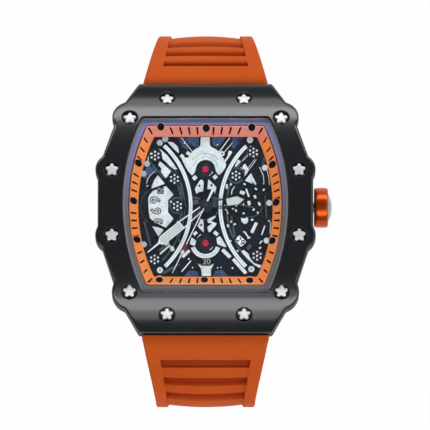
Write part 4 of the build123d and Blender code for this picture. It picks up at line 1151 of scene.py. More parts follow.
@dataclass
class Crown:
    """Orange crown with a silver cap, turning about the stem's axis."""

    start: float = 21.7
    length: float = 2.76
    radius: float = 4.0
    bore: float = 1.5
    bore_depth: float = 1.6
    cap_r: float = 2.95
    cap_rise: float = 0.8
    axis_drop: float = 6.9
    crowning: float = 0.07
    edge_r: float = 0.3
    core_r: float = 0.45

    def build(self) -> None:
        """Turns the body and the cap on a lathe profile.

        The body's profile is a bar whose edges fall by the fourth power and end round; the
        cap is an arc of a circle through its edge and its rise.
        """
        centre = (self.start, 0.0, CASE_TOP - self.axis_drop)
        along = np.linspace(0, 1, 25)
        bead = self.radius - self.crowning * np.abs(2 * along - 1) ** 4
        edge = self.edge_r
        across = edge + along * (self.length - 2 * edge)
        round_in = np.linspace(0, np.pi / 2, 6)[:-1]
        start = np.stack((bead[0] - edge * (1 - np.sin(round_in)), edge * (1 - np.cos(round_in))), axis=1)
        body = np.concatenate((
            [(self.core_r, self.bore_depth), (self.bore, self.bore_depth), (self.bore, 0.0)], start,
            np.stack((bead, across), axis=1),
            np.stack((start[::-1, 0], self.length - start[::-1, 1]), axis=1),
            [(self.cap_r + 0.12, self.length), (self.cap_r + 0.06, self.length - 0.12),
             (self.core_r, self.length - 0.12)]))
        ring = turned_set("crown_ring", body, 96, [(centre, ALONG_X)], ring=True)
        piece("crown_ring", ring, CROWN_ORANGE, "crown", ("crown_body",), smooth=40)
        arc = (self.cap_r ** 2 + self.cap_rise ** 2) / (2 * self.cap_rise)
        radius = np.linspace(self.cap_r - 0.1, 0.01, 16)
        rise = self.length + self.cap_rise - arc + np.sqrt(arc ** 2 - radius ** 2)
        foot = [(self.core_r, self.length - 0.1), (self.cap_r, self.length - 0.1), (self.cap_r, self.length + 0.02)]
        dome = np.concatenate((foot, np.stack((radius, rise), axis=1)))
        piece("crown_dome", turned_set("crown_dome", dome, 96, [(centre, ALONG_X)]), CROWN_SILVER, "crown",
              ("crown_cap",), smooth=40)
        for node in ("stem", "clutch_wheel", "setting_lever", "crown_tube"):
            keep(node, BAR_STEEL)


# ---- strap

@dataclass(frozen=True)
class Route:
    """A line of straight runs and round corners in the Y-Z plane, with a depth for each run."""

    corners: tuple[Pair, ...]
    radii: tuple[float, ...]
    depths: tuple[float, ...]

    def stations(self, spacing: float) -> dict[str, Array]:
        """Places along the route.

        Each corner is an arc that touches its two runs, radius times tan(half the turn) from
        the corner; depth goes evenly from one run's to the next's over that arc.

        Args:
            spacing: Distance between places in millimetres.

        Returns:
            Arrays of place, inward side direction, depth and length gone.
        """
        line = np.array(self.corners, float)
        way = np.diff(line, axis=0)
        way /= np.linalg.norm(way, axis=1, keepdims=True)
        places, sides, depths = [], [], []
        here = line[0]
        for at, radius in enumerate(list(self.radii) + [0.0]):
            last = at == len(self.radii)
            side = np.array((-way[at, 1], way[at, 0]))
            turn = 0.0 if last else math.acos(float(np.clip(way[at] @ way[at + 1], -1, 1)))
            end = line[at + 1] - way[at] * radius * math.tan(turn / 2)
            count = max(2, int(np.linalg.norm(end - here) / spacing) + 1)
            share = np.linspace(0, 1, count, endpoint=last)[:, None]
            places.append(here + (end - here) * share)
            sides.append(np.repeat(side[None, :], count, axis=0))
            depths.append(np.full(count, self.depths[at]))
            if last:
                break
            count = max(3, int(turn * radius / spacing) + 1)
            share = np.linspace(0, 1, count, endpoint=False)
            angle = share * turn
            rotated = np.stack((side[0] * np.cos(angle) - side[1] * np.sin(angle),
                                side[0] * np.sin(angle) + side[1] * np.cos(angle)), axis=1)
            centre = end + side * radius
            places.append(centre - rotated * radius)
            sides.append(rotated)
            depths.append(self.depths[at] + (self.depths[at + 1] - self.depths[at]) * share)
            here = line[at + 1] + way[at + 1] * radius * math.tan(turn / 2)
        place = np.concatenate(places)
        gone = np.concatenate(([0.0], np.cumsum(np.linalg.norm(np.diff(place, axis=0), axis=1))))
        return {"place": place, "side": np.concatenate(sides), "depth": np.concatenate(depths), "gone": gone}


@dataclass(frozen=True)
class StrapHalf:
    """What differs between the two halves.

    Each groove is given by the angles from overhead, about the shoulder's middle, of its
    steep wall on the case side and of its soft far side.
    """

    side: int
    case_half: float
    horizon_half: float
    bow: float
    middle_share: float
    grooves: tuple[Pair, ...]
    level: float
    shoulder_r: float
    knuckle_r: float = 0.0
    tail_r: float = 0.0


LONG_HALF = StrapHalf(-1, 12.72, 9.9, 1.15, 0.762, ((22.6, 31.2), (41.0, 50.8), (61.0, 74.0)), 0.72, 12.4,
                      tail_r=9.0)
SHORT_HALF = StrapHalf(1, 12.6, 9.4, 1.0, 0.733, ((18.1, 25.4), (30.3, 39.4), (44.1, 55.4)), 0.3, 11.9,
                       knuckle_r=1.4)


@dataclass
class Strap:
    """The two rubber halves, their keepers, bars and screws."""

    low_half: float = 9.0
    near: float = 25.45
    shoulder_y: float = 25.7
    case_level: float = 55.6
    sunk: float = 0.5
    sunk_from: float = 18.0
    sunk_to: float = 62.0
    groove_depth: float = 0.85
    edge: float = 0.4
    spacing: float = 0.1
    step: float = 0.012
    wall_turn: float = 0.5
    foot: Pair = (15.038, 0.0)
    slope: float = 50.0
    holes_up: tuple[float, ...] = (13.4, 20.9, 28.4)
    holes_flat: tuple[float, ...] = (1.038, -6.462, -13.962)
    bar: Pair = (21.707, 14.638)

    def angle(self, place: Array, kind: StrapHalf) -> Array:
        """Angle from overhead of each place about the shoulder's middle, from 0 to 180 degrees.

        Args:
            place: Points in millimetres.
            kind: The strap half.

        Returns:
            The angles in degrees.
        """
        out = kind.side * place[:, 0] - self.shoulder_y
        up = place[:, 1] - self.case_level + kind.shoulder_r
        found = np.degrees(np.arctan2(out, up))
        return np.where(out < 0, np.where(up > 0, 0.0, 180.0), found)

    def half_width(self, place: Array, kind: StrapHalf) -> Array:
        """Half the strap's width at each place.

        Above the horizon it falls with y from the case to the horizon, as the bow power of
        the share gone; below, it falls evenly with the height to the floor.

        Args:
            place: Points in millimetres.
            kind: The strap half.

        Returns:
            The half widths in millimetres.
        """
        y = np.abs(place[:, 0])
        z = place[:, 1]
        far = self.shoulder_y + kind.shoulder_r
        middle = self.case_level - kind.shoulder_r
        fall = np.clip((y - self.near) / (far - self.near), 0, 1) ** kind.bow
        plan = kind.case_half + (kind.horizon_half - kind.case_half) * fall
        low = self.low_half + (kind.horizon_half - self.low_half) * np.clip(z / middle, 0, 1)
        return np.where(z > middle, plan, low)

    def groove(self, angle: Array, kind: StrapHalf) -> Array:
        """Depth of the cross grooves at each angle, as a share of the full depth.

        A groove drops at its near angle within the wall's turn, stays level for the half's
        level share of its width and rises smoothly to its far angle.

        Args:
            angle: Degrees from overhead.
            kind: The strap half.

        Returns:
            Shares from 0 to 1.
        """
        found = np.zeros_like(angle)
        for start, end in kind.grooves:
            gone = (angle - start) / (end - start)
            wall = np.clip((angle - start) / self.wall_turn, 0, 1)
            rise = np.clip((gone - kind.level) / (1 - kind.level), 0, 1)
            found = np.maximum(found, wall * (1 - rise * rise * (3 - 2 * rise)))
        return found

    def columns(self, kind: StrapHalf) -> Array:
        """Shares of the half width at which the section has points, dense at the steps and edges.

        Args:
            kind: The strap half.

        Returns:
            Shares from -1 at the left edge to 1 at the right.
        """
        middle = kind.middle_share
        edge = 1 - 0.045 * (1 - np.sin(np.linspace(0, np.pi / 2, 6)))
        step = middle + np.array((-self.step, -0.004, 0.004, self.step))
        flat = np.linspace(middle + 0.03, 0.94, 6)
        right = np.concatenate((np.linspace(0.0, middle - 0.04, 14), step, flat, edge))
        return np.concatenate((-right[:0:-1], right))

    def half_mesh(self, name: str, route: Route, kind: StrapHalf) -> Mesh:
        """One strap half: its rounded section carried along its route.

        The outer face is a grid of stations by columns at the route plus the inward side
        direction times the face's depth, and the inner face is the same columns at the run's
        own depth. The middle sinks by the square of its share of the width, between rails
        that stay level. At a knuckle the two faces meet in a half circle, and at the tail the
        half width is the height of a circle.

        Args:
            name: Name of the mesh.
            route: Line that the strap half follows.
            kind: The strap half.

        Returns:
            A mesh in metres, in the frame.
        """
        coarse = route.stations(self.spacing)
        place = coarse["place"]
        angle = self.angle(place, kind)
        gone = coarse["gone"]
        order = np.arange(len(place))
        ends = (gone < kind.knuckle_r * 1.1) | (gone > gone[-1] - kind.tail_r * 1.02)
        wanted = ((angle > 0) & (angle < 100)) | (order % 9 == 0) | (ends & (order % 2 == 0))
        wanted[[0, -1]] = True
        place, inward, depth, angle, gone = (values[wanted] for values in (
            place, coarse["side"], coarse["depth"], angle, gone))
        half = self.half_width(place, kind)
        if kind.tail_r:
            past = np.clip((gone - gone[-1] + kind.tail_r) / kind.tail_r, 0, 0.9999)
            half = half * np.sqrt(1 - past ** 2)
        share = self.columns(kind)[None, :]
        across = share * half[:, None]
        middle = kind.middle_share
        inside = np.clip((middle - np.abs(share)) / self.step + 0.5, 0, 1)
        turn = np.clip((angle - self.sunk_from) / (self.sunk_to - self.sunk_from), 0, 1)[:, None]
        sink = self.sunk * turn * turn * (3 - 2 * turn) * (share / middle) ** 2
        groove = self.groove(angle, kind)[:, None] * inside
        edge = np.minimum(self.edge, half[:, None] * 0.3)
        over = np.clip(np.abs(across) - (half[:, None] - edge), 0, edge)
        rounding = edge - np.sqrt(np.maximum(edge ** 2 - over ** 2, 0))
        top = sink * inside + groove * self.groove_depth + rounding
        under = depth[:, None] - rounding
        if kind.knuckle_r:
            short = np.clip(kind.knuckle_r - gone, 0, kind.knuckle_r)
            close = (kind.knuckle_r - np.sqrt(np.maximum(kind.knuckle_r ** 2 - short ** 2, 0)))[:, None]
            top, under = top + close, under - close
        under = np.maximum(under, top + 0.02)
        outer, inner = (np.stack((across, place[:, None, 0] + inward[:, None, 0] * deep,
                                  place[:, None, 1] + inward[:, None, 1] * deep), axis=-1) for deep in (top, under))
        loop = np.concatenate((outer, inner[:, ::-1]), axis=1)
        # Painted shade: the groove's depth plus half the sunk middle's depth darken the rubber's colour.
        painted_light_mask = np.concatenate((groove + sink * inside * 0.5, np.zeros_like(across)), axis=1)
        return Shell().grid(loop).mesh(name, painted_light_mask.ravel())

    def six_route(self) -> Route:
        """Outer line of the long half, from the 6 o'clock case end to the tail."""
        corners = ((-25.6, 55.6), (-40.645, 55.6), (-35.086, 27.0), (-16.5, 0.0), (15.038, 0.0), (38.178, 27.577))
        return Route(corners, (12.4, 14.0, 16.0, 14.0), (5.2, 3.4, 2.8, 2.6, 2.6))

    def twelve_route(self) -> Route:
        """Outer line of the short half, from behind the buckle bar to the 12 o'clock case end."""
        return Route(((21.88, 12.665), (37.6, 31.4), (37.6, 55.6), (25.6, 55.6)), (14.0, 11.9), (2.8, 3.4, 5.2))

    def slope_frame(self, up: float) -> tuple[Array, Array, Array]:
        """Point up the tail's slope, the slope's direction and the direction into the strap.

        Args:
            up: Distance up the slope from its foot.

        Returns:
            The point and the two directions, in the plane of symmetry.
        """
        turn = math.radians(self.slope)
        along = np.array((0.0, math.cos(turn), math.sin(turn)))
        into = np.array((0.0, -math.sin(turn), math.cos(turn)))
        return np.array((0.0,) + self.foot) + along * up, along, into

    def prism(self, shell: Shell, line: Array, spot: Array, along: Array, into: Array, depth: float) -> None:
        """Adds a prism to a shell: an outline across and along, carried depth both ways."""
        flat = spot + line[:, :1] * ALONG_X + line[:, 1:] * along
        shell.grid(np.stack((flat - into * depth, flat + into * depth)))

    def hole_tool(self) -> Mesh:
        """Long round-ended cutters for the tail's holes.

        Returns:
            A mesh that is only used to cut.
        """
        shell = Shell()
        slot = tile(0, 0, 2.4, 5.4, 0, 1.1)
        for up in self.holes_up:
            self.prism(shell, slot, *self.slope_frame(up), 4.0)
        for y in self.holes_flat:
            self.prism(shell, slot, np.array((0.0, y, 0.0)), np.array((0.0, 1.0, 0.0)), UP, 4.0)
        return shell.mesh("hole_tool")

    def notch_tool(self) -> Mesh:
        """Box that makes room for the tongue's hub in the end of the short half.

        Returns:
            A mesh that is only used to cut.
        """
        shell = Shell()
        _, along, into = self.slope_frame(0.0)
        self.prism(shell, tile(0, 0, 2.6, 3.7, 0, 0.1), np.array((0.0,) + self.bar), along, into, 1.85)
        return shell.mesh("notch_tool")

    def keeper_mesh(self, name: str, up: float) -> Mesh:
        """A loop round both layers of the strap.

        Its section, a band with a crowned outer face and rounded edges, is carried round a
        rounded rectangle: at wall height w the corner radius and the half sizes all grow by w.

        Args:
            name: Name of the mesh.
            up: Distance up the slope from its foot.

        Returns:
            A mesh in metres, in the frame.
        """
        spot, along, into = self.slope_frame(up)
        section = rounded([(-0.6, 0.0, 0), (-2.0, 0.0, 0.15), (-2.0, 0.98, 0.3), (-1.1, 1.2, 0.5),
                           (-0.55, 1.2, 0.15), (-0.4, 1.05, 0.1), (0.4, 1.05, 0.1), (0.55, 1.2, 0.15),
                           (1.1, 1.2, 0.5), (2.0, 0.98, 0.3), (2.0, 0.0, 0.15), (0.6, 0.0, 0)], 4)
        turn = np.radians(np.concatenate([np.linspace(start, start + 90, 9) for start in (0, 90, 180, 270)]))
        corner_r, half_size, middle = 0.5, np.array((9.9, 3.15)), 2.85
        corner = np.sign(rays(turn.reshape(4, 9).mean(axis=1))).repeat(9, axis=0) * (half_size - corner_r)
        plan = corner[None] + rays(turn)[None] * (corner_r + section[:, 1])[:, None, None]
        points = (spot + into * middle + plan[..., :1] * ALONG_X + plan[..., 1:] * into
                  + section[:, 0][:, None, None] * along)
        return Shell().grid(points, ring=True).mesh(name)

    def blocks_mesh(self) -> Mesh:
        """The two rounded blocks that go into the case ends over their bars.

        Returns:
            A mesh in metres, in the frame.
        """
        shell = Shell()
        line = eased([(21.65, 50.15), (25.62, 50.15), (25.62, 52.7), (21.65, 55.4)], 0.35)
        for side in (1, -1):
            shell.grid(np.stack([np.column_stack((np.full(len(line), x), side * line[:, 0], line[:, 1]))
                                 for x in (-12.45, 12.45)]))
        return shell.mesh("case_blocks")

    def build(self) -> None:
        """Makes and dresses the strap."""
        long_half = cut(self.half_mesh("strap_long", self.six_route(), LONG_HALF), self.hole_tool(), "long_cut")
        piece("strap_long_half", long_half, RUBBER, "watch", ("strap_six",), smooth=38)
        short_half = self.half_mesh("strap_short", self.twelve_route(), SHORT_HALF)
        short_half = cut(short_half, self.notch_tool(), "short_cut")
        piece("strap_short_half", short_half, RUBBER, "watch", ("strap_twelve",), smooth=38)
        piece("strap_case_blocks", self.blocks_mesh(), RUBBER, "watch")
        piece("keeper_fixed", self.keeper_mesh("keeper_fixed", 20.9), RUBBER, "watch", ("fixed_keeper",), smooth=40)
        piece("keeper_loose", self.keeper_mesh("keeper_loose", 26.1), RUBBER, "loose_keeper", ("sliding_keeper",),
              smooth=40)
        recut("buckle_frame", BUCKLE_BLACK, "buckle", bevel=0.35)
        recut("buckle_tongue", BUCKLE_BLACK, "tongue", bevel=0.25)
        for node in ("buckle_spring_bar", "strap_bars", "strap_bar_screws"):
            recut(node, BAR_STEEL, "watch", bevel=0.05)


# ---- flat work

def left_turning(outline: Any) -> Array:
    """The outline as an array of points that goes round to the left.

    Args:
        outline: Points in plan.

    Returns:
        The same points, in their order or against it.
    """
    line = np.asarray(outline, float)
    after = np.roll(line, -1, axis=0)
    area = (line[:, 0] * after[:, 1] - line[:, 1] * after[:, 0]).sum()
    return line if area > 0 else line[::-1]


def eased(outline: Any, radius: float, steps: int = 4) -> Array:
    """A closed outline with rounded corners.

    Each corner gives way to a quadratic curve from a point on the side before it to one on
    the side after it, radius away or at most 0.45 of the side.

    Args:
        outline: Points in plan.
        radius: Distance from a corner at which its curve starts.
        steps: Number of steps of each curve.

    Returns:
        The rounded outline, going round to the left.
    """
    line = left_turning(outline)
    back = np.roll(line, 1, axis=0) - line
    ahead = np.roll(line, -1, axis=0) - line
    reach_back = np.linalg.norm(back, axis=1, keepdims=True)
    reach_ahead = np.linalg.norm(ahead, axis=1, keepdims=True)
    start = line + back * np.minimum(radius / reach_back, 0.45)
    end = line + ahead * np.minimum(radius / reach_ahead, 0.45)
    share = np.linspace(0, 1, steps)[None, :, None]
    curve = ((1 - share) ** 2 * start[:, None] + 2 * share * (1 - share) * line[:, None]
             + share ** 2 * end[:, None])
    return curve.reshape(-1, 2)


def moved_in(line: Array, distance: float) -> Array:
    """A left-turning outline moved inwards along the mean of its two side directions.

    Args:
        line: Points in plan.
        distance: How far each side moves inwards.

    Returns:
        The moved outline.
    """
    ahead = np.roll(line, -1, axis=0) - line
    ahead = ahead / np.maximum(np.linalg.norm(ahead, axis=1, keepdims=True), 1e-9)
    normal = np.stack((-ahead[:, 1], ahead[:, 0]), axis=1)
    before = np.roll(normal, 1, axis=0)
    lean = np.maximum(1 + (normal * before).sum(axis=1), 0.4)
    return line + distance * (normal + before) / lean[:, None]


def spin(degrees: float) -> Array:
    """What points in plan are multiplied by to turn them to the left."""
    angle = math.radians(degrees)
    return np.array([(math.cos(angle), math.sin(angle)), (-math.sin(angle), math.cos(angle))])


def round_spot(x: float, y: float, radius: float, sides: int) -> Array:
    """Outline of a round spot."""
    return rays(round_turn(sides)) * radius + (x, y)


def spots(places: Sequence[Pair], radius: float, sides: int) -> list[Array]:
    """Outlines of round spots of one size."""
    return [round_spot(x, y, radius, sides) for x, y in places]


def tile(x: float, y: float, width: float, height: float, turn: float, ease: float = 0.12) -> Array:
    """Outline of a rounded rectangle turned by turn degrees."""
    corner = np.array([(-1, -1), (1, -1), (1, 1), (-1, 1)]) * (width / 2, height / 2)
    return eased(corner @ spin(turn) + (x, y), ease)


def line_bar(points: Any, width: float, taper: float = 1.0) -> Array:
    """Outline of a narrow bar along a line of points, its far end taper times as wide.

    Args:
        points: Points of the middle line.
        width: Width at the near end.
        taper: Width at the far end, as a share of the near one.

    Returns:
        A closed outline with rounded corners.
    """
    line = np.asarray(points, float)
    way = np.gradient(line, axis=0)
    way /= np.linalg.norm(way, axis=1, keepdims=True)
    side = np.stack((-way[:, 1], way[:, 0]), axis=1)
    half = (width / 2 * np.linspace(1, taper, len(line)))[:, None]
    return eased(np.concatenate((line + side * half, (line - side * half)[::-1])), width * 0.3, 3)


def band(x: float, y: float, inner: float, outer: float, start: float, end: float, steps: int = 40) -> Array:
    """Outline of part of a flat ring, between two directions in degrees."""
    ray = rays(np.radians(np.linspace(start, end, steps)))
    return left_turning(np.concatenate((ray * outer, ray[::-1] * inner)) + (x, y))


def add_plate(shell: Shell, outline: Any, low: float, high: float, edge: float = 0.05, grow: float = 0.0) -> None:
    """Adds a flat plate with a sloping edge to a shell.

    Three outlines are stacked: at the foot, just under the top, and at the top moved in by
    edge; the foot and the top are closed by many-sided faces.

    Args:
        shell: What it is added to.
        outline: Its outline in plan.
        low: Height of its foot.
        high: Height of its top.
        edge: Width of the sloping edge.
        grow: How far the outline is moved outwards first.
    """
    line = moved_in(left_turning(outline), -grow) if grow else left_turning(outline)
    rows = [(line, low), (line, high - edge), (moved_in(line, edge), high)]
    shell.grid(np.stack([at_height(plan, height) for plan, height in rows]))


def add_figures(shell: Shell, words: str, x: float, y: float, height: float, turn: float,
                low: float, rise: float, bold: float = 0.0) -> None:
    """Adds raised figures to a shell.

    Args:
        shell: What they are added to.
        words: The figures.
        x: Their middle.
        y: Their middle.
        height: Their height in plan.
        turn: Their turn in degrees.
        low: Height of their foot.
        rise: How far they stand up.
        bold: How far their outline is moved outwards.
    """
    curve = bpy.data.curves.new("figures", "FONT")
    curve.body = words
    curve.size = height / 0.7
    curve.align_x = "CENTER"
    curve.align_y = "CENTER"
    curve.extrude = rise / 2
    curve.offset = bold
    curve.resolution_u = 3
    made = placed("figures", curve)
    mesh = baked(made)
    points = points_of(mesh)
    plan = points[:, :2] @ spin(turn) + (x, y)
    faces = [np.array(face.vertices) for face in mesh.polygons]
    shell.add(np.column_stack((plan, points[:, 2] + (low + rise / 2))), (), faces)
    bpy.data.objects.remove(made)
    bpy.data.meshes.remove(mesh)


# ---- chapter ring

@dataclass
class ChapterRing:
    """The orange sloping ring with its bosses, hour dots and minute ticks."""

    outer: Pair = (15.2, 16.1)
    inner: Pair = (13.42, 14.21)
    high: float = 3.75
    low: float = 5.7
    lip: float = 0.25
    boss_r: float = 1.05
    dot_r: float = 0.7
    power: float = 160.0
    sides: int = 1200
    dots: tuple[Pair, ...] = (
        (0.14, 15.7), (9.26, 15.85), (13.35, 8.35), (14.1, 0.7), (13.3, -7.05), (8.82, -15.15),
        (-0.2, -15.0), (-9.2, -15.0), (-13.65, -6.9), (-14.35, 0.97), (-13.38, 8.63), (-8.92, 15.95))
    bossed: tuple[int, ...] = (0, 1, 5, 6, 7, 11)

    def rim(self, turn: Array, *power: float) -> Array:
        """Inner line of the flat lip at each direction turn."""
        return CURVES.barrel(self.outer[0] - self.lip, self.outer[1] - self.lip, turn, *power)

    def share(self, plan: Array) -> Array:
        """How far down the slope each point in plan lies, 0 at the outer line and 1 at the inner.

        Args:
            plan: Points in plan.

        Returns:
            One share for each point.
        """
        turn = np.arctan2(plan[:, 1], plan[:, 0])
        far = np.linalg.norm(self.rim(turn), axis=1)
        near = np.linalg.norm(CURVES.barrel(*self.inner, turn), axis=1)
        return (far - np.linalg.norm(plan, axis=1)) / (far - near)

    def level(self, plan: Array, lift: float = 0.0) -> Array:
        """Points in plan set on the slope and raised by lift."""
        fall = np.clip(self.share(plan), 0, 1) * (self.low - self.high - 0.1)
        return np.column_stack((plan, CASE_TOP - self.high - fall + lift))

    def ring_mesh(self) -> Mesh:
        """Rows from the outer wall over the slope to the dial, with a boss round six of the dots.

        The inner line is the barrel outline, cut back along each ray to where the ray first
        meets a circle round the dot; the rows between follow the slope.

        Returns:
            A mesh in metres, in the frame.
        """
        turn = round_turn(self.sides)
        ray = rays(turn)
        outer = CURVES.barrel(*self.outer, turn, self.power)
        rim = self.rim(turn, self.power)
        near = np.linalg.norm(CURVES.barrel(*self.inner, turn, self.power), axis=1)
        for place in self.bossed:
            reach, met = meets(ray, *self.dots[place], self.boss_r, -1)
            near = np.minimum(near, np.where(met, reach, near))
        inner = ray * near[:, None]
        high, low = CASE_TOP - self.high, CASE_TOP - self.low
        edges = ((inner, low), (outer, low), (outer, high), (rim, high))
        rows = [at_height(plan, height) for plan, height in edges]
        rows += [self.level(rim + (inner - rim) * share) for share in np.linspace(0, 1, 9)[1:]]
        rows.append(at_height(inner, low + 0.02))
        return Shell().grid(np.stack(rows), ring=True).mesh("flange")

    def marks_mesh(self) -> Mesh:
        """Ticks at each minute between the hours: thin plates from the outer line along the ray.

        Returns:
            A mesh in metres, in the frame.
        """
        minute = np.arange(60)
        minute = minute[minute % 5 != 0]
        turn = np.pi / 2 - np.radians(minute * 6.0)
        ray = rays(turn)
        side = np.stack((-ray[:, 1], ray[:, 0]), axis=1)
        across = np.abs(ray[:, 1]) > np.abs(ray[:, 0]) * 1.12
        start = ray * (np.linalg.norm(self.rim(turn), axis=1) - 0.02)[:, None]
        finish = start - ray * np.where(across, 1.3, 1.15)[:, None]
        wide, narrow = side * 0.2, side * 0.15
        corners = np.stack((start + wide, start - wide, finish - narrow, finish + narrow), axis=1)
        flat = corners.reshape(-1, 2)
        top = self.level(flat, 0.05).reshape(-1, 4, 3)
        foot = self.level(flat, -0.02).reshape(-1, 4, 3)
        points = np.concatenate((foot, top), axis=1)
        block = np.array([(0, 1, 2, 3), (7, 6, 5, 4), (0, 4, 5, 1), (1, 5, 6, 2), (2, 6, 7, 3), (3, 7, 4, 0)])
        faces = (block[None] + np.arange(len(minute))[:, None, None] * 8).reshape(-1, 4)
        return Shell().add(points, faces).mesh("minute_ticks")

    def dots_mesh(self, inner: float, outer: float, lift: float) -> Mesh:
        """Twelve round marks on the slope, each a disc or, with an inner radius, a narrow ring; the narrow rings are
        a painted highlight.

        Args:
            inner: Inner radius, 0 for a disc.
            outer: Outer radius.
            lift: Height of the marks above the slope.

        Returns:
            A mesh in metres, in the frame.
        """
        shell = Shell()
        radii = [(outer, -0.03), (outer, lift * 0.6), (outer - 0.04, lift)]
        radii += [(inner, lift), (inner, -0.03)] if inner > 0 else [(outer * 0.5, lift), (0.01, lift)]
        for x, y in self.dots:
            rows = [self.level(round_spot(x, y, radius, 28), high) for radius, high in radii]
            shell.grid(np.stack(rows), ring=inner > 0)
        return shell.mesh("hour_marks")

    def build(self) -> None:
        """Makes and dresses the ring."""
        piece("flange_slope", self.ring_mesh(), FlangeFinish(), "watch", ("flange_ring",), smooth=50)
        piece("minute_ticks", self.marks_mesh(), MARK_BLUE_BLACK, "watch")
        piece("hour_marks", self.dots_mesh(0, self.dot_r, 0.13), MARK_BLUE_BLACK, "watch", ("hour_dots",))
        # Painted highlight: pale rings round the hour dots stand in for light caught on the slope round each dot.
        piece("hour_mark_highlight_rings", self.dots_mesh(self.dot_r + 0.01, self.dot_r + 0.12, 0.06), MARK_HIGHLIGHT_RING, "watch")


# ---- dial
# Outlines are corners in plan; a tile is its middle, width, height and turn in degrees; a spot
# is its middle and radius; a bar is its line and width; a band is its middle, its two radii, the
# two directions between which it runs, in degrees, and its number of steps.

WHITE_SHAPES = (
    ((-9.47, 11.89), (-8.76, 11.45), (-7.68, 10.46), (-6.6, 9.02), (-5.62, 7.59), (-6.16, 7.48), (-7.03, 8.14),
     (-7.9, 9.02), (-8.65, 9.69), (-8.76, 11.01)),
    ((-9.14, 9.25), (-6.92, 7.26), (-7.03, 6.93), (-7.9, 5.72), (-8.33, 6.16), (-8.98, 7.15), (-8.76, 7.7),
     (-9.52, 8.47)),
    ((-7.68, 13.2), (-6.6, 13.1), (-5.6, 12.3), (-5.3, 11.2), (-5.35, 10.8), (-6.38, 11.73)),
    ((-0.85, 5.5), (-0.47, 5.27), (-0.36, 4.83), (-0.47, 3.07), (-1.28, 2.96), (-1.82, 2.52), (-2.15, 3.62),
     (-1.17, 5.27)),
    ((0.56, 5.6), (2.19, 3.95), (1.86, 2.52), (1.5, 3.5), (0.35, 3.5), (0.45, 4.6)),
    ((-0.85, -2.49), (-0.41, -2.93), (-0.31, -5.35), (-1.6, -4.03), (-1.06, -2.7)),
    ((1.97, -1.82), (0.34, -2.6), (0.45, -3.26), (1.32, -3.48), (0.34, -4.14), (0.56, -5.13), (0.89, -5.24),
     (2.3, -3.48), (1.1, -2.93), (2.08, -2.15)),
    ((6.49, 9.58), (7.14, 9.13), (6.06, 8.03), (5.84, 8.14)),
    ((7.4, 8.3), (7.9, 8.75), (8.75, 7.45), (7.79, 6.05), (7.57, 7.0), (7.9, 7.5), (7.3, 7.2), (6.95, 8.0),
     (7.5, 7.85)),
    ((9.09, 6.82), (10.23, 4.5), (9.85, 4.39), (9.31, 5.27), (9.42, 4.61), (7.84, 5.27)),
    ((7.03, -2.27), (7.7, -2.45), (8.44, -2.15), (8.55, -2.93), (8.33, -3.37), (7.8, -3.6), (7.2, -3.1)),
    ((7.57, -8.77), (8.55, -9.54), (8.87, -10.5), (9.74, -11.5), (11.0, -11.9), (11.26, -12.0), (10.8, -12.5),
     (9.7, -11.86), (8.4, -10.65), (7.14, -9.2)),
    ((-9.4, -7.3), (-8.7, -6.7), (-7.9, -7.1), (-8.5, -7.9)))
WHITE_TILES = (
    (-3.4, 10.79, 0.9, 0.7, -35), (-4.7, 10.24, 0.75, 0.7, -35), (-2.15, 5.83, 0.9, 0.8, 40),
    (1.92, 5.99, 0.85, 0.8, 40), (-2.04, -5.46, 0.9, 0.6, 40), (2.08, -5.46, 1.0, 0.7, -40),
    (4.27, 4.06, 0.4, 1.0, 0), (7.36, 2.8, 1.0, 0.7, -20), (9.9, 1.97, 0.5, 0.7, 20), (8.7, 0.7, 0.6, 0.9, 10),
    (10.77, 0.53, 0.45, 0.8, 30), (7.57, 0.42, 0.3, 0.5, 0), (3.9, 0.15, 0.4, 0.35, 0),
    (6.2, 0.1, 0.35, 0.3, 30), (7.8, 4.56, 0.55, 0.35, -30), (10.07, 3.57, 0.55, 0.35, -35),
    (11.64, 3.4, 0.35, 0.5, -40), (5.08, 4.5, 0.5, 0.35, 60), (5.5, -0.45, 0.5, 0.3, 20),
    (6.1, -0.83, 0.35, 0.5, 0), (7.63, -1.38, 0.5, 0.35, 10), (9.63, -0.61, 0.5, 0.4, 45),
    (10.45, -1.27, 0.35, 0.55, 20), (9.3, -2.7, 0.5, 0.4, 0), (5.84, -3.6, 0.5, 0.4, 30),
    (4.5, -3.9, 0.4, 0.6, 15), (5.1, -3.1, 0.35, 0.4, 0), (-6.65, -8.55, 0.8, 1.0, 20),
    (-7.7, -7.56, 1.0, 0.5, 40), (-6.9, 0.95, 0.35, 0.5, 20), (6.6, 1.0, 0.35, 0.35, 0),
    (-5.5, -3.2, 0.35, 0.55, 30), (-5.0, -4.4, 0.4, 0.3, 0), (10.9, -8.4, 0.5, 0.35, 40),
    (6.4, -9.0, 0.35, 0.35, 0), (5.0, -7.0, 0.4, 0.35, 30), (-4.2, 12.9, 0.35, 0.3, 0),
    (2.4, 12.6, 0.3, 0.3, 0))
WHITE_SPOTS = (
    (-2.58, -12.4, 0.16), (2.4, -12.45, 0.16), (3.1, -12.36, 0.13), (5.4, -12.5, 0.2), (-11.64, 4.2, 0.17),
    (-3.34, -10.65, 0.18), (12.67, -2.93, 0.2), (11.6, 4.6, 0.12))
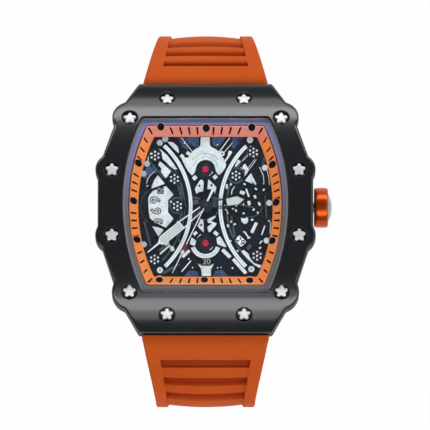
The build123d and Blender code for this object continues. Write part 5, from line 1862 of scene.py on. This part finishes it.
WHITE_BARS = (
    (((-11.8, 4.7), (-11.5, 5.7), (-10.9, 6.5), (-10.2, 7.15)), 0.14), (((-4.86, 14.04), (-2.69, 11.23)), 0.15),
    (((4.86, 14.0), (2.6, 10.9)), 0.22), (((5.4, 13.0), (3.8, 11.1)), 0.15),
    # The bar from (0.67, 6.27) to (1.43, 7.04) is a painted highlight on the upper jewel's ring.
    (((0.67, 6.27), (1.43, 7.04)), 0.25), (((0.89, -8.94), (1.54, -8.22)), 0.25),
    (((-1.6, -6.46), (-0.96, -5.68)), 0.25), (((8.55, 10.46), (7.36, 9.25)), 0.14),
    (((10.2, 9.58), (8.77, 7.59)), 0.12), (((9.95, 9.75), (8.5, 7.8)), 0.1),
    (((5.84, 4.06), (5.3, 3.3), (5.2, 2.4)), 0.2), (((8.12, 3.62), (8.66, 1.97)), 0.35),
    (((10.2, -3.26), (9.2, -5.35)), 0.65), (((11.86, -3.9), (11.2, -5.8)), 0.3),
    (((11.3, -6.9), (10.8, -7.56)), 0.3), (((13.0, -3.1), (12.9, -5.6)), 0.12),
    (((7.8, -5.2), (8.66, -6.35)), 0.3), (((7.45, -5.1), (8.15, -5.3)), 0.25),
    (((8.35, -6.5), (9.0, -6.25)), 0.25), (((-9.1, -9.65), (-7.03, -7.78)), 0.35),
    (((-4.75, -13.2), (-2.9, -11.0)), 0.25), (((10.77, 8.03), (11.58, 6.27), (11.69, 4.72)), 0.16),
    (((12.2, 7.6), (12.65, 6.0), (12.8, 4.4)), 0.14), (((3.9, -0.5), (4.3, -0.9), (4.5, -1.5)), 0.22),
    (((-11.6, 8.9), (-11.4, 10.1), (-10.9, 11.0)), 0.16), (((9.2, 12.3), (8.5, 11.6), (8.35, 10.7)), 0.2))
GREY_BANDS = (
    (-20.0, 0, 15.55, 15.95, -44, 44, 60), (-20.0, 0, 15.0, 15.3, -20, 40, 40),
    (20.0, 0, 15.6, 15.95, 136, 226, 60), (-5.62, 0.25, 1.35, 1.75, 0, 359, 40),
    (6.06, 6.38, 1.38, 1.7, 20, 330, 40), (0, 0, 2.5, 2.8, 200, 345, 30), (0, 0, 4.2, 4.45, 205, 235, 14),
    (-9.0, 0, 3.95, 4.1, 130, 230, 40), (8.9, 0.3, 2.3, 2.5, -110, -10, 30))
GREY_BARS = (
    (((-12.0, 10.3), (-8.2, 5.7)), 0.3), (((-4.9, 3.9), (-4.3, 0.5), (-4.5, -3.0)), 0.4),
    (((5.2, -2.0), (5.9, -6.5)), 0.35), (((11.9, 2.2), (12.2, -2.4)), 0.3),
    (((-6.3, -5.2), (-4.2, -8.6)), 0.5), (((4.5, 1.0), (9.7, -0.2)), 0.35),
    (((-12.3, -3.0), (-10.9, -8.0)), 0.35), (((-5.2, -11.6), (-8.6, -13.6)), 0.5),
    (((-2.6, 1.9), (-1.0, 1.6)), 0.4), (((1.0, 1.9), (2.7, 1.5)), 0.4))
GREY_TILES = (
    (-2.0, 0.9, 1.3, 0.9, 10), (1.9, 0.75, 1.0, 1.4, 0), (-1.3, -1.3, 0.9, 0.9, 30),
    (8.7, -8.2, 1.1, 0.7, 45), (-8.6, -8.6, 1.4, 0.8, 40), (11.6, 9.3, 0.5, 1.6, -20))
NAVY_SHAPES = (
    ((-2.9, 14.2), (-1.35, 14.2), (-1.35, 12.45), (-2.0, 12.1), (-3.05, 12.6), (-4.2, 13.9)),
    ((1.15, 14.2), (4.2, 14.2), (2.95, 12.5), (2.35, 12.1), (1.5, 12.35)),
    ((-5.6, 14.2), (-4.4, 14.2), (-2.9, 12.1), (-3.6, 11.5), (-4.6, 12.2)),
    ((5.4, 14.2), (7.6, 14.2), (6.3, 12.4), (5.5, 11.7), (5.0, 12.4)),
    ((-12.6, 6.0), (-11.8, 8.0), (-10.4, 8.4), (-9.6, 7.0), (-10.6, 6.6), (-11.6, 5.4)),
    ((1.5, -14.1), (4.6, -14.1), (3.4, -12.8), (2.0, -13.0)),
    ((-1.3, -14.1), (-4.3, -14.1), (-3.3, -12.9), (-1.5, -13.2)))


@dataclass
class Dial:
    """The dark dial and the raised skeleton work on it."""

    ground: float = 58.3
    window: Pair = (6.965, -6.965)
    jewels: tuple[Pair, ...] = ((0, 7.5), (0, -7.5))
    bearings: tuple[Pair, ...] = ((-10.1, 10.35), (-6.2, 5.6), (-5.6, 0.1), (-10.15, -10.75),
                                  (9.6, 11.0), (6.1, 6.3), (10.3, -10.0))
    arc_r: float = 17.05
    arc_x: float = 20.0
    arc_width: float = 0.75

    def arcs(self) -> list[Array]:
        """The two bowed bridges, the right one parted twice near its middle.

        Returns:
            Closed outlines in plan.
        """
        low, high = self.arc_r - self.arc_width / 2, self.arc_r + self.arc_width / 2
        spans = ((-self.arc_x, -45.5, 46.5, 70), (self.arc_x, 134.0, 174.6, 40), (self.arc_x, 175.3, 181.0, 8),
                 (self.arc_x, 181.6, 225.5, 40))
        return [band(x, 0, low, high, start, end, steps) for x, start, end, steps in spans]

    def upper_bridge(self) -> list[Array]:
        """Post and winged ring band over the upper jewel.

        Returns:
            Closed outlines in plan.
        """
        post = [(-1.0, 14.2), (0.85, 14.2), (0.85, 12.55), (1.2, 12.05), (2.1, 11.65), (2.75, 11.1),
                (3.2, 10.5), (3.7, 9.6), (4.15, 8.6), (4.0, 7.9), (3.35, 6.95), (2.69, 6.35), (2.2, 6.85),
                (2.0, 7.54), (1.75, 8.45), (1.1, 9.2), (0.02, 9.53), (-1.05, 9.2), (-1.7, 8.45), (-1.96, 7.54),
                (-2.15, 6.85), (-2.69, 6.27), (-3.3, 6.95), (-3.95, 7.9), (-4.6, 9.3), (-5.1, 10.3),
                (-4.2, 10.0), (-3.5, 9.9), (-3.0, 10.55), (-2.75, 11.1), (-2.0, 11.75), (-1.3, 12.05),
                (-1.0, 12.55)]
        block = [(3.9, 8.9), (4.65, 9.9), (5.35, 11.05), (5.2, 11.35), (4.6, 11.3), (4.4, 10.2), (3.75, 9.4)]
        return [eased(post, 0.22), eased(block, 0.2)]

    def lower_bridge(self) -> list[Array]:
        """Ring band, tail and foot under the lower jewel.

        Returns:
            Closed outlines in plan.
        """
        tail = band(0.0, -7.5, 2.15, 3.05, 197, 343, 40)
        foot = [(-1.61, -11.53), (-0.63, -12.03), (0.89, -12.03), (1.75, -11.53), (1.1, -12.74), (1.1, -14.1),
                (-0.74, -14.1), (-0.85, -12.74)]
        blocks = [[(-2.8, -6.24), (-1.82, -7.0), (-2.15, -8.0), (-3.13, -7.67)],
                  [(2.15, -6.46), (2.91, -6.02), (4.21, -8.11), (3.89, -8.28), (2.37, -7.67)]]
        arms = [line_bar([(3.35, -8.75), (4.97, -10.35)], 0.75), line_bar([(-3.2, -8.9), (-4.6, -10.3)], 0.6),
                line_bar([(5.5, -10.65), (8.1, -13.6)], 0.7)]
        return [tail, eased(foot, 0.2)] + [eased(line, 0.15) for line in blocks] + arms

    def number_plate(self) -> list[Array]:
        """The plate with figures at the left and the pointed pieces above and below it.

        Returns:
            Closed outlines in plan.
        """
        plate = [(-11.37, 2.08), (-10.5, 3.18), (-7.9, 4.17), (-6.38, 2.41), (-7.46, 1.3), (-7.5, -1.16),
                 (-6.38, -2.49), (-7.9, -4.36), (-10.3, -3.04), (-11.04, -2.49), (-11.37, -1.05), (-11.47, 1.5)]
        upper = [(-9.52, 6.38), (-8.11, 4.61), (-10.82, 3.62), (-10.71, 4.28), (-10.17, 5.5)]
        lower = [(-10.66, -4.03), (-9.4, -4.25), (-8.3, -4.7), (-8.76, -5.35), (-9.4, -6.1)]
        return [eased(plate, 0.2), eased(upper, 0.12), eased(lower, 0.12)]

    def small_white(self) -> list[Array]:
        """The smaller white pieces, in plan, from the top left to the lower right.

        Returns:
            Closed outlines in plan.
        """
        found = [eased(shape, 0.16) for shape in WHITE_SHAPES]
        found += [tile(*values) for values in WHITE_TILES]
        return found + [round_spot(*values, 14) for values in WHITE_SPOTS]

    def bars(self) -> list[Array]:
        """Narrow white bars and levers."""
        return [line_bar(points, width) for points, width in WHITE_BARS]

    def grey_work(self) -> list[Array]:
        """Darker plates and bands behind the white work.

        Returns:
            Closed outlines in plan.
        """
        found = [band(*values) for values in GREY_BANDS]
        found += [line_bar(points, width) for points, width in GREY_BARS]
        return found + [tile(*values) for values in GREY_TILES]

    def navy(self) -> list[Array]:
        """The bluish panels at the top of the dial, their blue partly a painted reflection of the crystal's coating,
        and the dark one at its foot.
        """
        return [eased(shape, 0.15) for shape in NAVY_SHAPES]

    def layer(self, name: str, outlines: Sequence[Any], low: float, high: float, finish: Look,
              replaces: Sequence[str] = (), edge: float = 0.05, grow: float = 0.0) -> None:
        """One piece of many plates at the same level.

        Args:
            name: Name of the piece.
            outlines: Closed outlines in plan.
            low: Height of their foot above the dial.
            high: Height of their top above the dial.
            finish: Its look.
            replaces: CAD nodes that it stands for.
            edge: Width of the sloping edge.
            grow: How far the outlines are moved outwards first.
        """
        shell = Shell()
        for outline in outlines:
            add_plate(shell, outline, self.ground + low, self.ground + high, edge, grow)
        piece(name, shell.mesh(name), finish, "watch", replaces, smooth=30)

    def turned_work(self, name: str, profile: Any, sides: int, places: Sequence[Pair], ring: bool = False) -> Mesh:
        """One turned profile at each place of the dial."""
        return turned_set(name, profile, sides, [((x, y, self.ground), UP) for x, y in places], ring)

    def turned_pieces(self) -> None:
        """Stepped collars round the jewels, domed rubies with an oil cup, rimmed round plates."""
        collar = ((0.68, 0.0), (1.97, 0.0), (1.97, 0.22), (1.9, 0.3), (1.7, 0.31), (1.62, 0.22),
                  (1.45, 0.2), (1.38, 0.27), (1.1, 0.26), (0.95, 0.2), (0.8, 0.24), (0.68, 0.2))
        ruby = ((0.01, 0.0), (0.65, 0.0), (0.65, 0.3), (0.62, 0.38), (0.52, 0.43), (0.35, 0.45),
                (0.2, 0.43), (0.12, 0.38), (0.01, 0.36))
        plate = ((0.01, 0.0), (1.3, 0.0), (1.3, 0.24), (1.24, 0.3), (1.12, 0.3), (1.05, 0.24),
                 (0.6, 0.22), (0.01, 0.21))
        piece("jewel_collars", self.turned_work("jewel_collars", collar, 64, self.jewels, ring=True), SETTING_DARK,
              "watch", ("jewel_settings",), smooth=24)
        piece("rubies", self.turned_work("rubies", ruby, 40, self.jewels), RUBY, "watch", ("jewels",), smooth=60)
        piece("bearing_plates", self.turned_work("bearing_plates", plate, 48, self.bearings), SETTING_DARK, "watch",
              ("dial_bearings",), smooth=24)

    def figures_mesh(self, bold: float, low: float) -> Mesh:
        """The figures on the number plate and over the lower bridge's foot.

        Args:
            bold: How far their outline is moved outwards.
            low: Height of their foot above the dial.

        Returns:
            A mesh in metres, in the frame.
        """
        shell = Shell()
        for words, x, y, height, turn in (("12", -8.95, 3.15, 1.0, 90), ("9", -9.95, 1.3, 1.85, 90),
                                          ("6", -9.8, -0.95, 1.85, 90), ("3", -9.3, -3.0, 1.6, 90),
                                          ("30", 0.2, -11.25, 1.15, 0)):
            add_figures(shell, words, x, y, height, turn, self.ground + low, 0.08, bold)
        return shell.mesh("plate_figures")

    def build(self) -> None:
        """Makes and dresses the dial and its work."""
        keep("dial_plate", DialFinish())
        white = self.small_white()
        self.layer("navy_panels", self.navy(), -0.02, 0.1, DIAL_NAVY)
        self.layer("grey_work", self.grey_work(), -0.02, 0.14, DIAL_GREY)
        self.layer("white_outlines", white + self.bars() + self.number_plate(), -0.01, 0.17, OUTLINE_BLACK,
                   grow=0.13)
        self.layer("bridge_outlines", self.arcs() + self.upper_bridge() + self.lower_bridge(), -0.01, 0.19,
                   OUTLINE_BLACK, grow=0.16)
        arcs = self.arcs()
        self.layer("arc_left", arcs[:1], 0.0, 0.36, ARC_WHITE, ("arc_bridge_left",), 0.08)
        self.layer("arc_right", arcs[1:], 0.0, 0.36, ARC_WHITE, ("arc_bridge_right",), 0.08)
        lines = [band(-self.arc_x, 0, self.arc_r - 0.03, self.arc_r + 0.03, -45, 46, 60),
                 band(self.arc_x, 0, self.arc_r - 0.03, self.arc_r + 0.03, 134.5, 225, 60)]
        self.layer("arc_lines", lines, 0.3, 0.375, LINE_GREY, edge=0.01)
        for node, plates in (("upper_bridge", self.upper_bridge()), ("lower_bridge", self.lower_bridge())):
            self.layer(node + "_plate", plates, 0.0, 0.34, APPLIED_WHITE, (node,), 0.07)
        grooves = [band(0.02, 7.54, 3.18, 3.26, 38, 146, 40), band(0.02, 7.54, 2.52, 2.59, 12, 168, 40),
                   band(0.0, -7.5, 2.56, 2.62, 200, 340, 40), line_bar([(2.75, 11.1), (3.6, 9.4)], 0.06)]
        self.layer("bridge_lines", grooves, 0.3, 0.355, LINE_GREY, edge=0.01)
        self.layer("number_plate_face", self.number_plate(), 0.0, 0.32, APPLIED_WHITE, ("number_plate",), 0.06)
        self.layer("white_work", white, 0.0, 0.3, APPLIED_WHITE, edge=0.06)
        self.layer("white_bars", self.bars(), 0.0, 0.26, APPLIED_BRIGHT, edge=0.04)
        piece("figure_outlines", self.figures_mesh(0.15, 0.3), OUTLINE_BLACK, "watch")
        piece("figure_faces", self.figures_mesh(-0.035, 0.33), APPLIED_BRIGHT, "watch")
        self.turned_pieces()
        holes = 0.78 * rays(np.radians(np.arange(6) * 60 + 30))
        dots = [spot for place in self.bearings for spot in spots(holes + place, 0.21, 12)]
        dots += [tile(x, y, 0.34, 0.5, -30, 0.1) for x, y in self.bearings]
        self.layer("bearing_dots", dots, 0.1, 0.3, APPLIED_BRIGHT, edge=0.04)
        studs = [(-8.06, 13.77), (-9.14, 13.0), (8.9, 13.55), (-9.1, -12.9), (9.15, -12.7)]
        self.layer("stud_caps", spots(studs, 0.62, 28), 0.0, 0.3, STUD_GREY, ("dial_studs",), 0.1)
        self.layer("stud_rims", [band(x, y, 0.4, 0.58, 0, 359, 28) for x, y in studs[2:]], 0.2, 0.34,
                   APPLIED_BRIGHT, edge=0.04)
        pale, dim = ((11.86, 7.9), (12.75, 0.75), (12.2, -6.9)), ((-11.7, 8.7), (-12.4, 6.7), (-12.3, -7.7))
        self.layer("pale_spots", spots(pale, 0.6, 28), 0.0, 0.24, APPLIED_WHITE, edge=0.1)
        self.layer("dim_spots", spots(dim, 0.6, 28), 0.0, 0.24, STUD_GREY, edge=0.1)
        screw, holes = ((3.35, 10.73),), ((-0.85, -3.8), (-1.2, 4.2), (1.2, 4.3))
        self.layer("screw_spots", spots(screw, 0.5, 20), 0.3, 0.42, APPLIED_BRIGHT, edge=0.06)
        self.layer("dark_spots", spots(screw, 0.2, 14) + spots(holes, 0.22, 12), 0.28, 0.44, SETTING_DARK, edge=0.03)
        self.date()

    def date(self) -> None:
        """The frame of the date window, the date disc and the date."""
        line = left_turning(tile(*self.window, 2.5, 1.95, -45, 0.3))
        inner = tile(*self.window, 1.98, 1.5, -45, 0.2)
        rows = [(line, -0.3), (line, 0.26), (moved_in(line, 0.06), 0.32), (moved_in(inner, -0.05), 0.32),
                (inner, 0.26), (inner, -0.3)]
        points = np.stack([at_height(plan, self.ground + height) for plan, height in rows])
        shell = Shell().grid(points, ring=True)
        piece("date_frame", shell.mesh("date_frame"), OUTLINE_BLACK, "watch", ("date_window_frame",))
        # The date disc's finish carries painted light from emission, as the disc lies in shade under the dial.
        keep("date_ring", DATE_WHITE)
        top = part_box("date_ring")[1][2] / MM
        shell = Shell()
        add_figures(shell, "29", *self.window, 1.22, -45, top, 0.02, 0.035)
        piece("date_figures", shell.mesh("date_figures"), DATE_INK, "date")


# ---- hands

@dataclass
class Hands:
    """Hour, minute and seconds hands and the cap over them."""

    hour_turn: float = 80.3
    minute_turn: float = 230.5
    seconds_turn: float = 205.5

    def part(self, name: str, outlines: Sequence[Any], turn: float, drop: float, thick: float, finish: Look,
             body: str, replaces: Sequence[str] = (), edge: float = 0.03) -> None:
        """Flat pieces of one hand, drawn along +Y and turned clockwise by turn degrees.

        Their tops lie at a drop below the case top.

        Args:
            name: Name of the piece.
            outlines: Closed outlines in plan.
            turn: Degrees clockwise from 12 o'clock.
            drop: Depth of the tops below the case top.
            thick: Thickness.
            finish: Its look.
            body: Moving body that it belongs to.
            replaces: CAD nodes that it stands for.
            edge: Width of the sloping edge.
        """
        shell = Shell()
        for outline in outlines:
            line = left_turning(outline) @ spin(-turn)
            add_plate(shell, line, CASE_TOP - drop - thick, CASE_TOP - drop, edge)
        piece(name, shell.mesh(name), finish, body, replaces)

    def hub(self, hole: float, outer: float) -> Array:
        """Ring round the hole of a hand."""
        return band(0, 0, hole, outer, 0, 359.5, 48)

    def build(self) -> None:
        """Makes and dresses the hands."""
        rails = [line_bar([(side * 0.5, 0.9), (side * 0.78, 4.3)], 0.24) for side in (-1, 1)]
        tip = eased([(-0.86, 4.1), (0.86, 4.1), (0.98, 6.6), (0.0, 8.05), (-0.98, 6.6)], 0.15)
        self.part("hour_frame", rails + [tip, self.hub(0.93, 1.4)], self.hour_turn, 4.77, 0.13, HAND_DARK, "hours",
                  ("hour_hand",))
        lume = eased([(-0.7, 4.3), (0.7, 4.3), (0.84, 6.52), (0.0, 7.8), (-0.84, 6.52)], 0.12)
        self.part("hour_lume", [lume], self.hour_turn, 4.69, 0.09, HAND_LUME, "hours", edge=0.04)
        rails = [line_bar([(side * 0.42, 0.7), (side * 0.8, 6.3)], 0.23) for side in (-1, 1)]
        block = eased([(-0.92, 6.1), (0.92, 6.1), (0.93, 11.1), (0.2, 12.1), (0.1, 15.0), (-0.1, 15.0),
                       (-0.2, 12.1), (-0.93, 11.1)], 0.1)
        self.part("minute_frame", rails + [block], self.minute_turn, 4.22, 0.13, HAND_WHITE, "minutes",
                  ("minute_hand",))
        self.part("minute_hub", [self.hub(0.6, 1.15)], self.minute_turn, 4.21, 0.15, HAND_DARK, "minutes")
        lume = eased([(-0.76, 6.3), (0.76, 6.3), (0.76, 11.0), (0.0, 11.75), (-0.76, 11.0)], 0.12)
        self.part("minute_lume", [lume], self.minute_turn, 4.15, 0.08, HAND_LUME, "minutes", edge=0.04)
        needle = [line_bar([(0, -4.0), (0, -0.6)], 0.52, 0.6), line_bar([(0, 0.6), (0, 15.3)], 0.22, 0.7)]
        self.part("seconds_needle", needle, self.seconds_turn, 3.68, 0.12, HAND_WHITE, "seconds", ("seconds_hand",))
        self.part("seconds_hub", [self.hub(0.14, 0.85)], self.seconds_turn, 3.67, 0.14, HAND_DARK, "seconds")
        self.part("seconds_block", [eased([(-0.36, 10.3), (0.36, 10.3), (0.36, 11.0), (-0.36, 11.0)], 0.08),
                                    eased([(-0.16, 11.2), (0.16, 11.2), (0.16, 12.0), (-0.16, 12.0)], 0.05)],
                  self.seconds_turn, 3.64, 0.1, HAND_LUME, "seconds")
        self.part("seconds_band", [eased([(-0.42, 8.9), (0.42, 8.9), (0.42, 10.1), (-0.42, 10.1)], 0.1)],
                  self.seconds_turn, 3.65, 0.1, HAND_MAROON, "seconds")
        dome = ((0.01, 0.0), (0.5, 0.0), (0.5, 0.14), (0.45, 0.21), (0.35, 0.24), (0.2, 0.25), (0.01, 0.25))
        cap = turned_set("cap_dome", dome, 40, [((0, 0, CASE_TOP - 3.65), UP)])
        piece("cap_dome", cap, HAND_DARK, "seconds", ("hand_cap",), smooth=50)


@dataclass
class Works:
    """The movement under the dial and the crystal over it."""

    def build(self) -> None:
        """Dresses the movement's nodes and the crystal."""
        recut("crystal", CrystalFinish(), "watch", smooth=40)
        dressed = {
            "main_plate": MOVEMENT_STEEL, "train_bridge": MOVEMENT_STEEL, "movement_holder": HOLDER,
            "battery": CELL, "battery_clamp": BAR_STEEL, "circuit_board": BOARD, "stator": IRON, "coil": COPPER,
            "motor_rotor": IRON, "fifth_wheel": SCREEN_BRASS, "seconds_wheel": SCREEN_BRASS,
            "third_wheel": SCREEN_BRASS, "centre_wheel": SCREEN_BRASS, "cannon_pinion": BAR_STEEL,
            "minute_wheel": SCREEN_BRASS, "hour_wheel": SCREEN_BRASS}
        for node, finish in dressed.items():
            keep(node, finish)


# ---- camera, lights and floor

@dataclass
class Studio:
    """Camera of the photograph, two soft strips, a pale surround and a white floor."""

    elevation: float = 79.5
    target: tuple[float, float, float] = (1.9, -1.41, 56.8)
    frame_width: float = 86.0
    lens: float = 600.0
    sensor: float = 36.0
    lamp_reach: float = 0.6
    lamp_centre: float = 0.06
    lamp_tint: tuple[float, float, float] = (0.98, 0.99, 1.02)
    floor_radius: float = 3.0
    floor_glow: float = 0.95

    def camera(self) -> None:
        """Sets the long-lens camera on the 6 o'clock side, looking down on the dial."""
        data = bpy.data.cameras.new("camera")
        data.lens = self.lens
        data.sensor_width = self.sensor
        data.clip_start = 0.05
        data.clip_end = 50.0
        made = placed("camera", data)
        distance = self.frame_width / self.sensor * self.lens
        angle = math.radians(self.elevation)
        target = np.array(self.target)
        spot = (target + distance * np.array((0.0, -math.cos(angle), math.sin(angle)))) * MM
        made.location = spot.tolist()
        made.rotation_euler = (math.radians(90 - self.elevation), 0.0, 0.0)
        bpy.context.scene.camera = made

    def strip(self, name: str, tilt: float, width: float, height: float, radiance: float,
              side: float = 90.0) -> None:
        """Adds a soft strip lamp facing the watch.

        Args:
            name: The lamp's name.
            tilt: Its angle from overhead in degrees, positive to the 12 o'clock side.
            width: Its size along X in metres.
            height: Its size towards the top in metres.
            radiance: Its brightness; the power is pi times brightness times area.
            side: Direction in plan that its tilt leans towards, in degrees from +X.
        """
        data = bpy.data.lights.new(name, "AREA")
        data.shape = "RECTANGLE"
        data.size = width
        data.size_y = height
        data.energy = math.pi * radiance * width * height
        made = placed(name, data)
        angle, turn = math.radians(tilt), math.radians(side)
        out = self.lamp_reach * math.sin(angle)
        made.location = (out * math.cos(turn), out * math.sin(turn),
                         self.lamp_centre + self.lamp_reach * math.cos(angle))
        made.rotation_euler = (-angle, 0.0, turn - math.pi / 2)
        made.visible_camera = False
        data.color = self.lamp_tint

    def world(self) -> None:
        """A surround that is white at the horizon and dim overhead, and all white to the camera."""
        world = bpy.data.worlds.new("surround")
        bpy.context.scene.world = world
        paint = Paint(world)
        white = (1.0, 1.0, 1.0, 1.0)
        high = paint.node("SeparateXYZ", values={0: paint.node("TexCoord", output="Generated")}, output="Z")
        sky = paint.node("ValToRGB", values={"Fac": high})
        stops = zip(sky.socket.node.color_ramp.elements, (0.0, 0.08), (white, (0.2, 0.2, 0.205, 1.0)))
        for stop, place, colour in stops:
            stop.position = place
            stop.color = colour
        seen = paint.mix(paint.node("LightPath", output="Is Camera Ray"), sky, white)
        paint.finish(paint.node("Background", values={"Color": seen}), "OutputWorld")

    def floor(self) -> None:
        """A wide white disc under the watch, which keeps the watch's shadow."""
        paint = Paint(bpy.data.materials.new("white_floor"))
        path = [paint.node("LightPath", output=f"Is {kind} Ray") for kind in ("Camera", "Glossy", "Transmission")]
        seen = path[0].most(path[1]).most(path[2])
        plain = paint.node("BsdfDiffuse", values={"Color": (0.9, 0.9, 0.9, 1.0)})
        white = paint.node("Emission", values={"Color": (1.0, 1.0, 1.0, 1.0), "Strength": 1.0})
        both = paint.node("MixShader", values={0: seen * self.floor_glow, 1: plain, 2: white})
        material = paint.finish(both)
        radius = np.linspace(0.02, 1.0, 12)[:, None]
        disc = np.stack([radius * side for side in (*rays(round_turn(96)).T, np.zeros(96))], axis=-1)
        mesh = bpy.data.meshes.new("floor")
        faces = grid_faces(12, 96).tolist() + [list(range(96))]
        mesh.from_pydata((disc.reshape(-1, 3) * self.floor_radius).tolist(), [], faces)
        mesh.materials.append(material)
        placed("floor", mesh)

    def build(self) -> None:
        """Sets camera, lamps, surround and floor."""
        self.camera()
        self.world()
        self.floor()
        self.strip("strip_twelve", 55.0, 1.0, 0.13, 6.0)
        self.strip("strip_twelve_low", 66.5, 1.0, 0.11, 2.2)
        self.strip("strip_six_high", -31.0, 1.0, 0.06, 1.2)
        self.strip("strip_six", -41.5, 1.0, 0.12, 4.9)
        self.strip("strip_six_low", -51.5, 1.0, 0.1, 2.0)
        self.strip("strip_right", 52.0, 0.5, 0.3, 1.6, 0.0)
        bpy.context.scene.view_settings.view_transform = "Standard"


def main() -> None:
    """Builds the watch in order."""
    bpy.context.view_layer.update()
    Studio().build()
    Case().build()
    Crown().build()
    Strap().build()
    ChapterRing().build()
    Dial().build()
    Hands().build()
    Works().build()


if __name__ == "__main__":
    main()
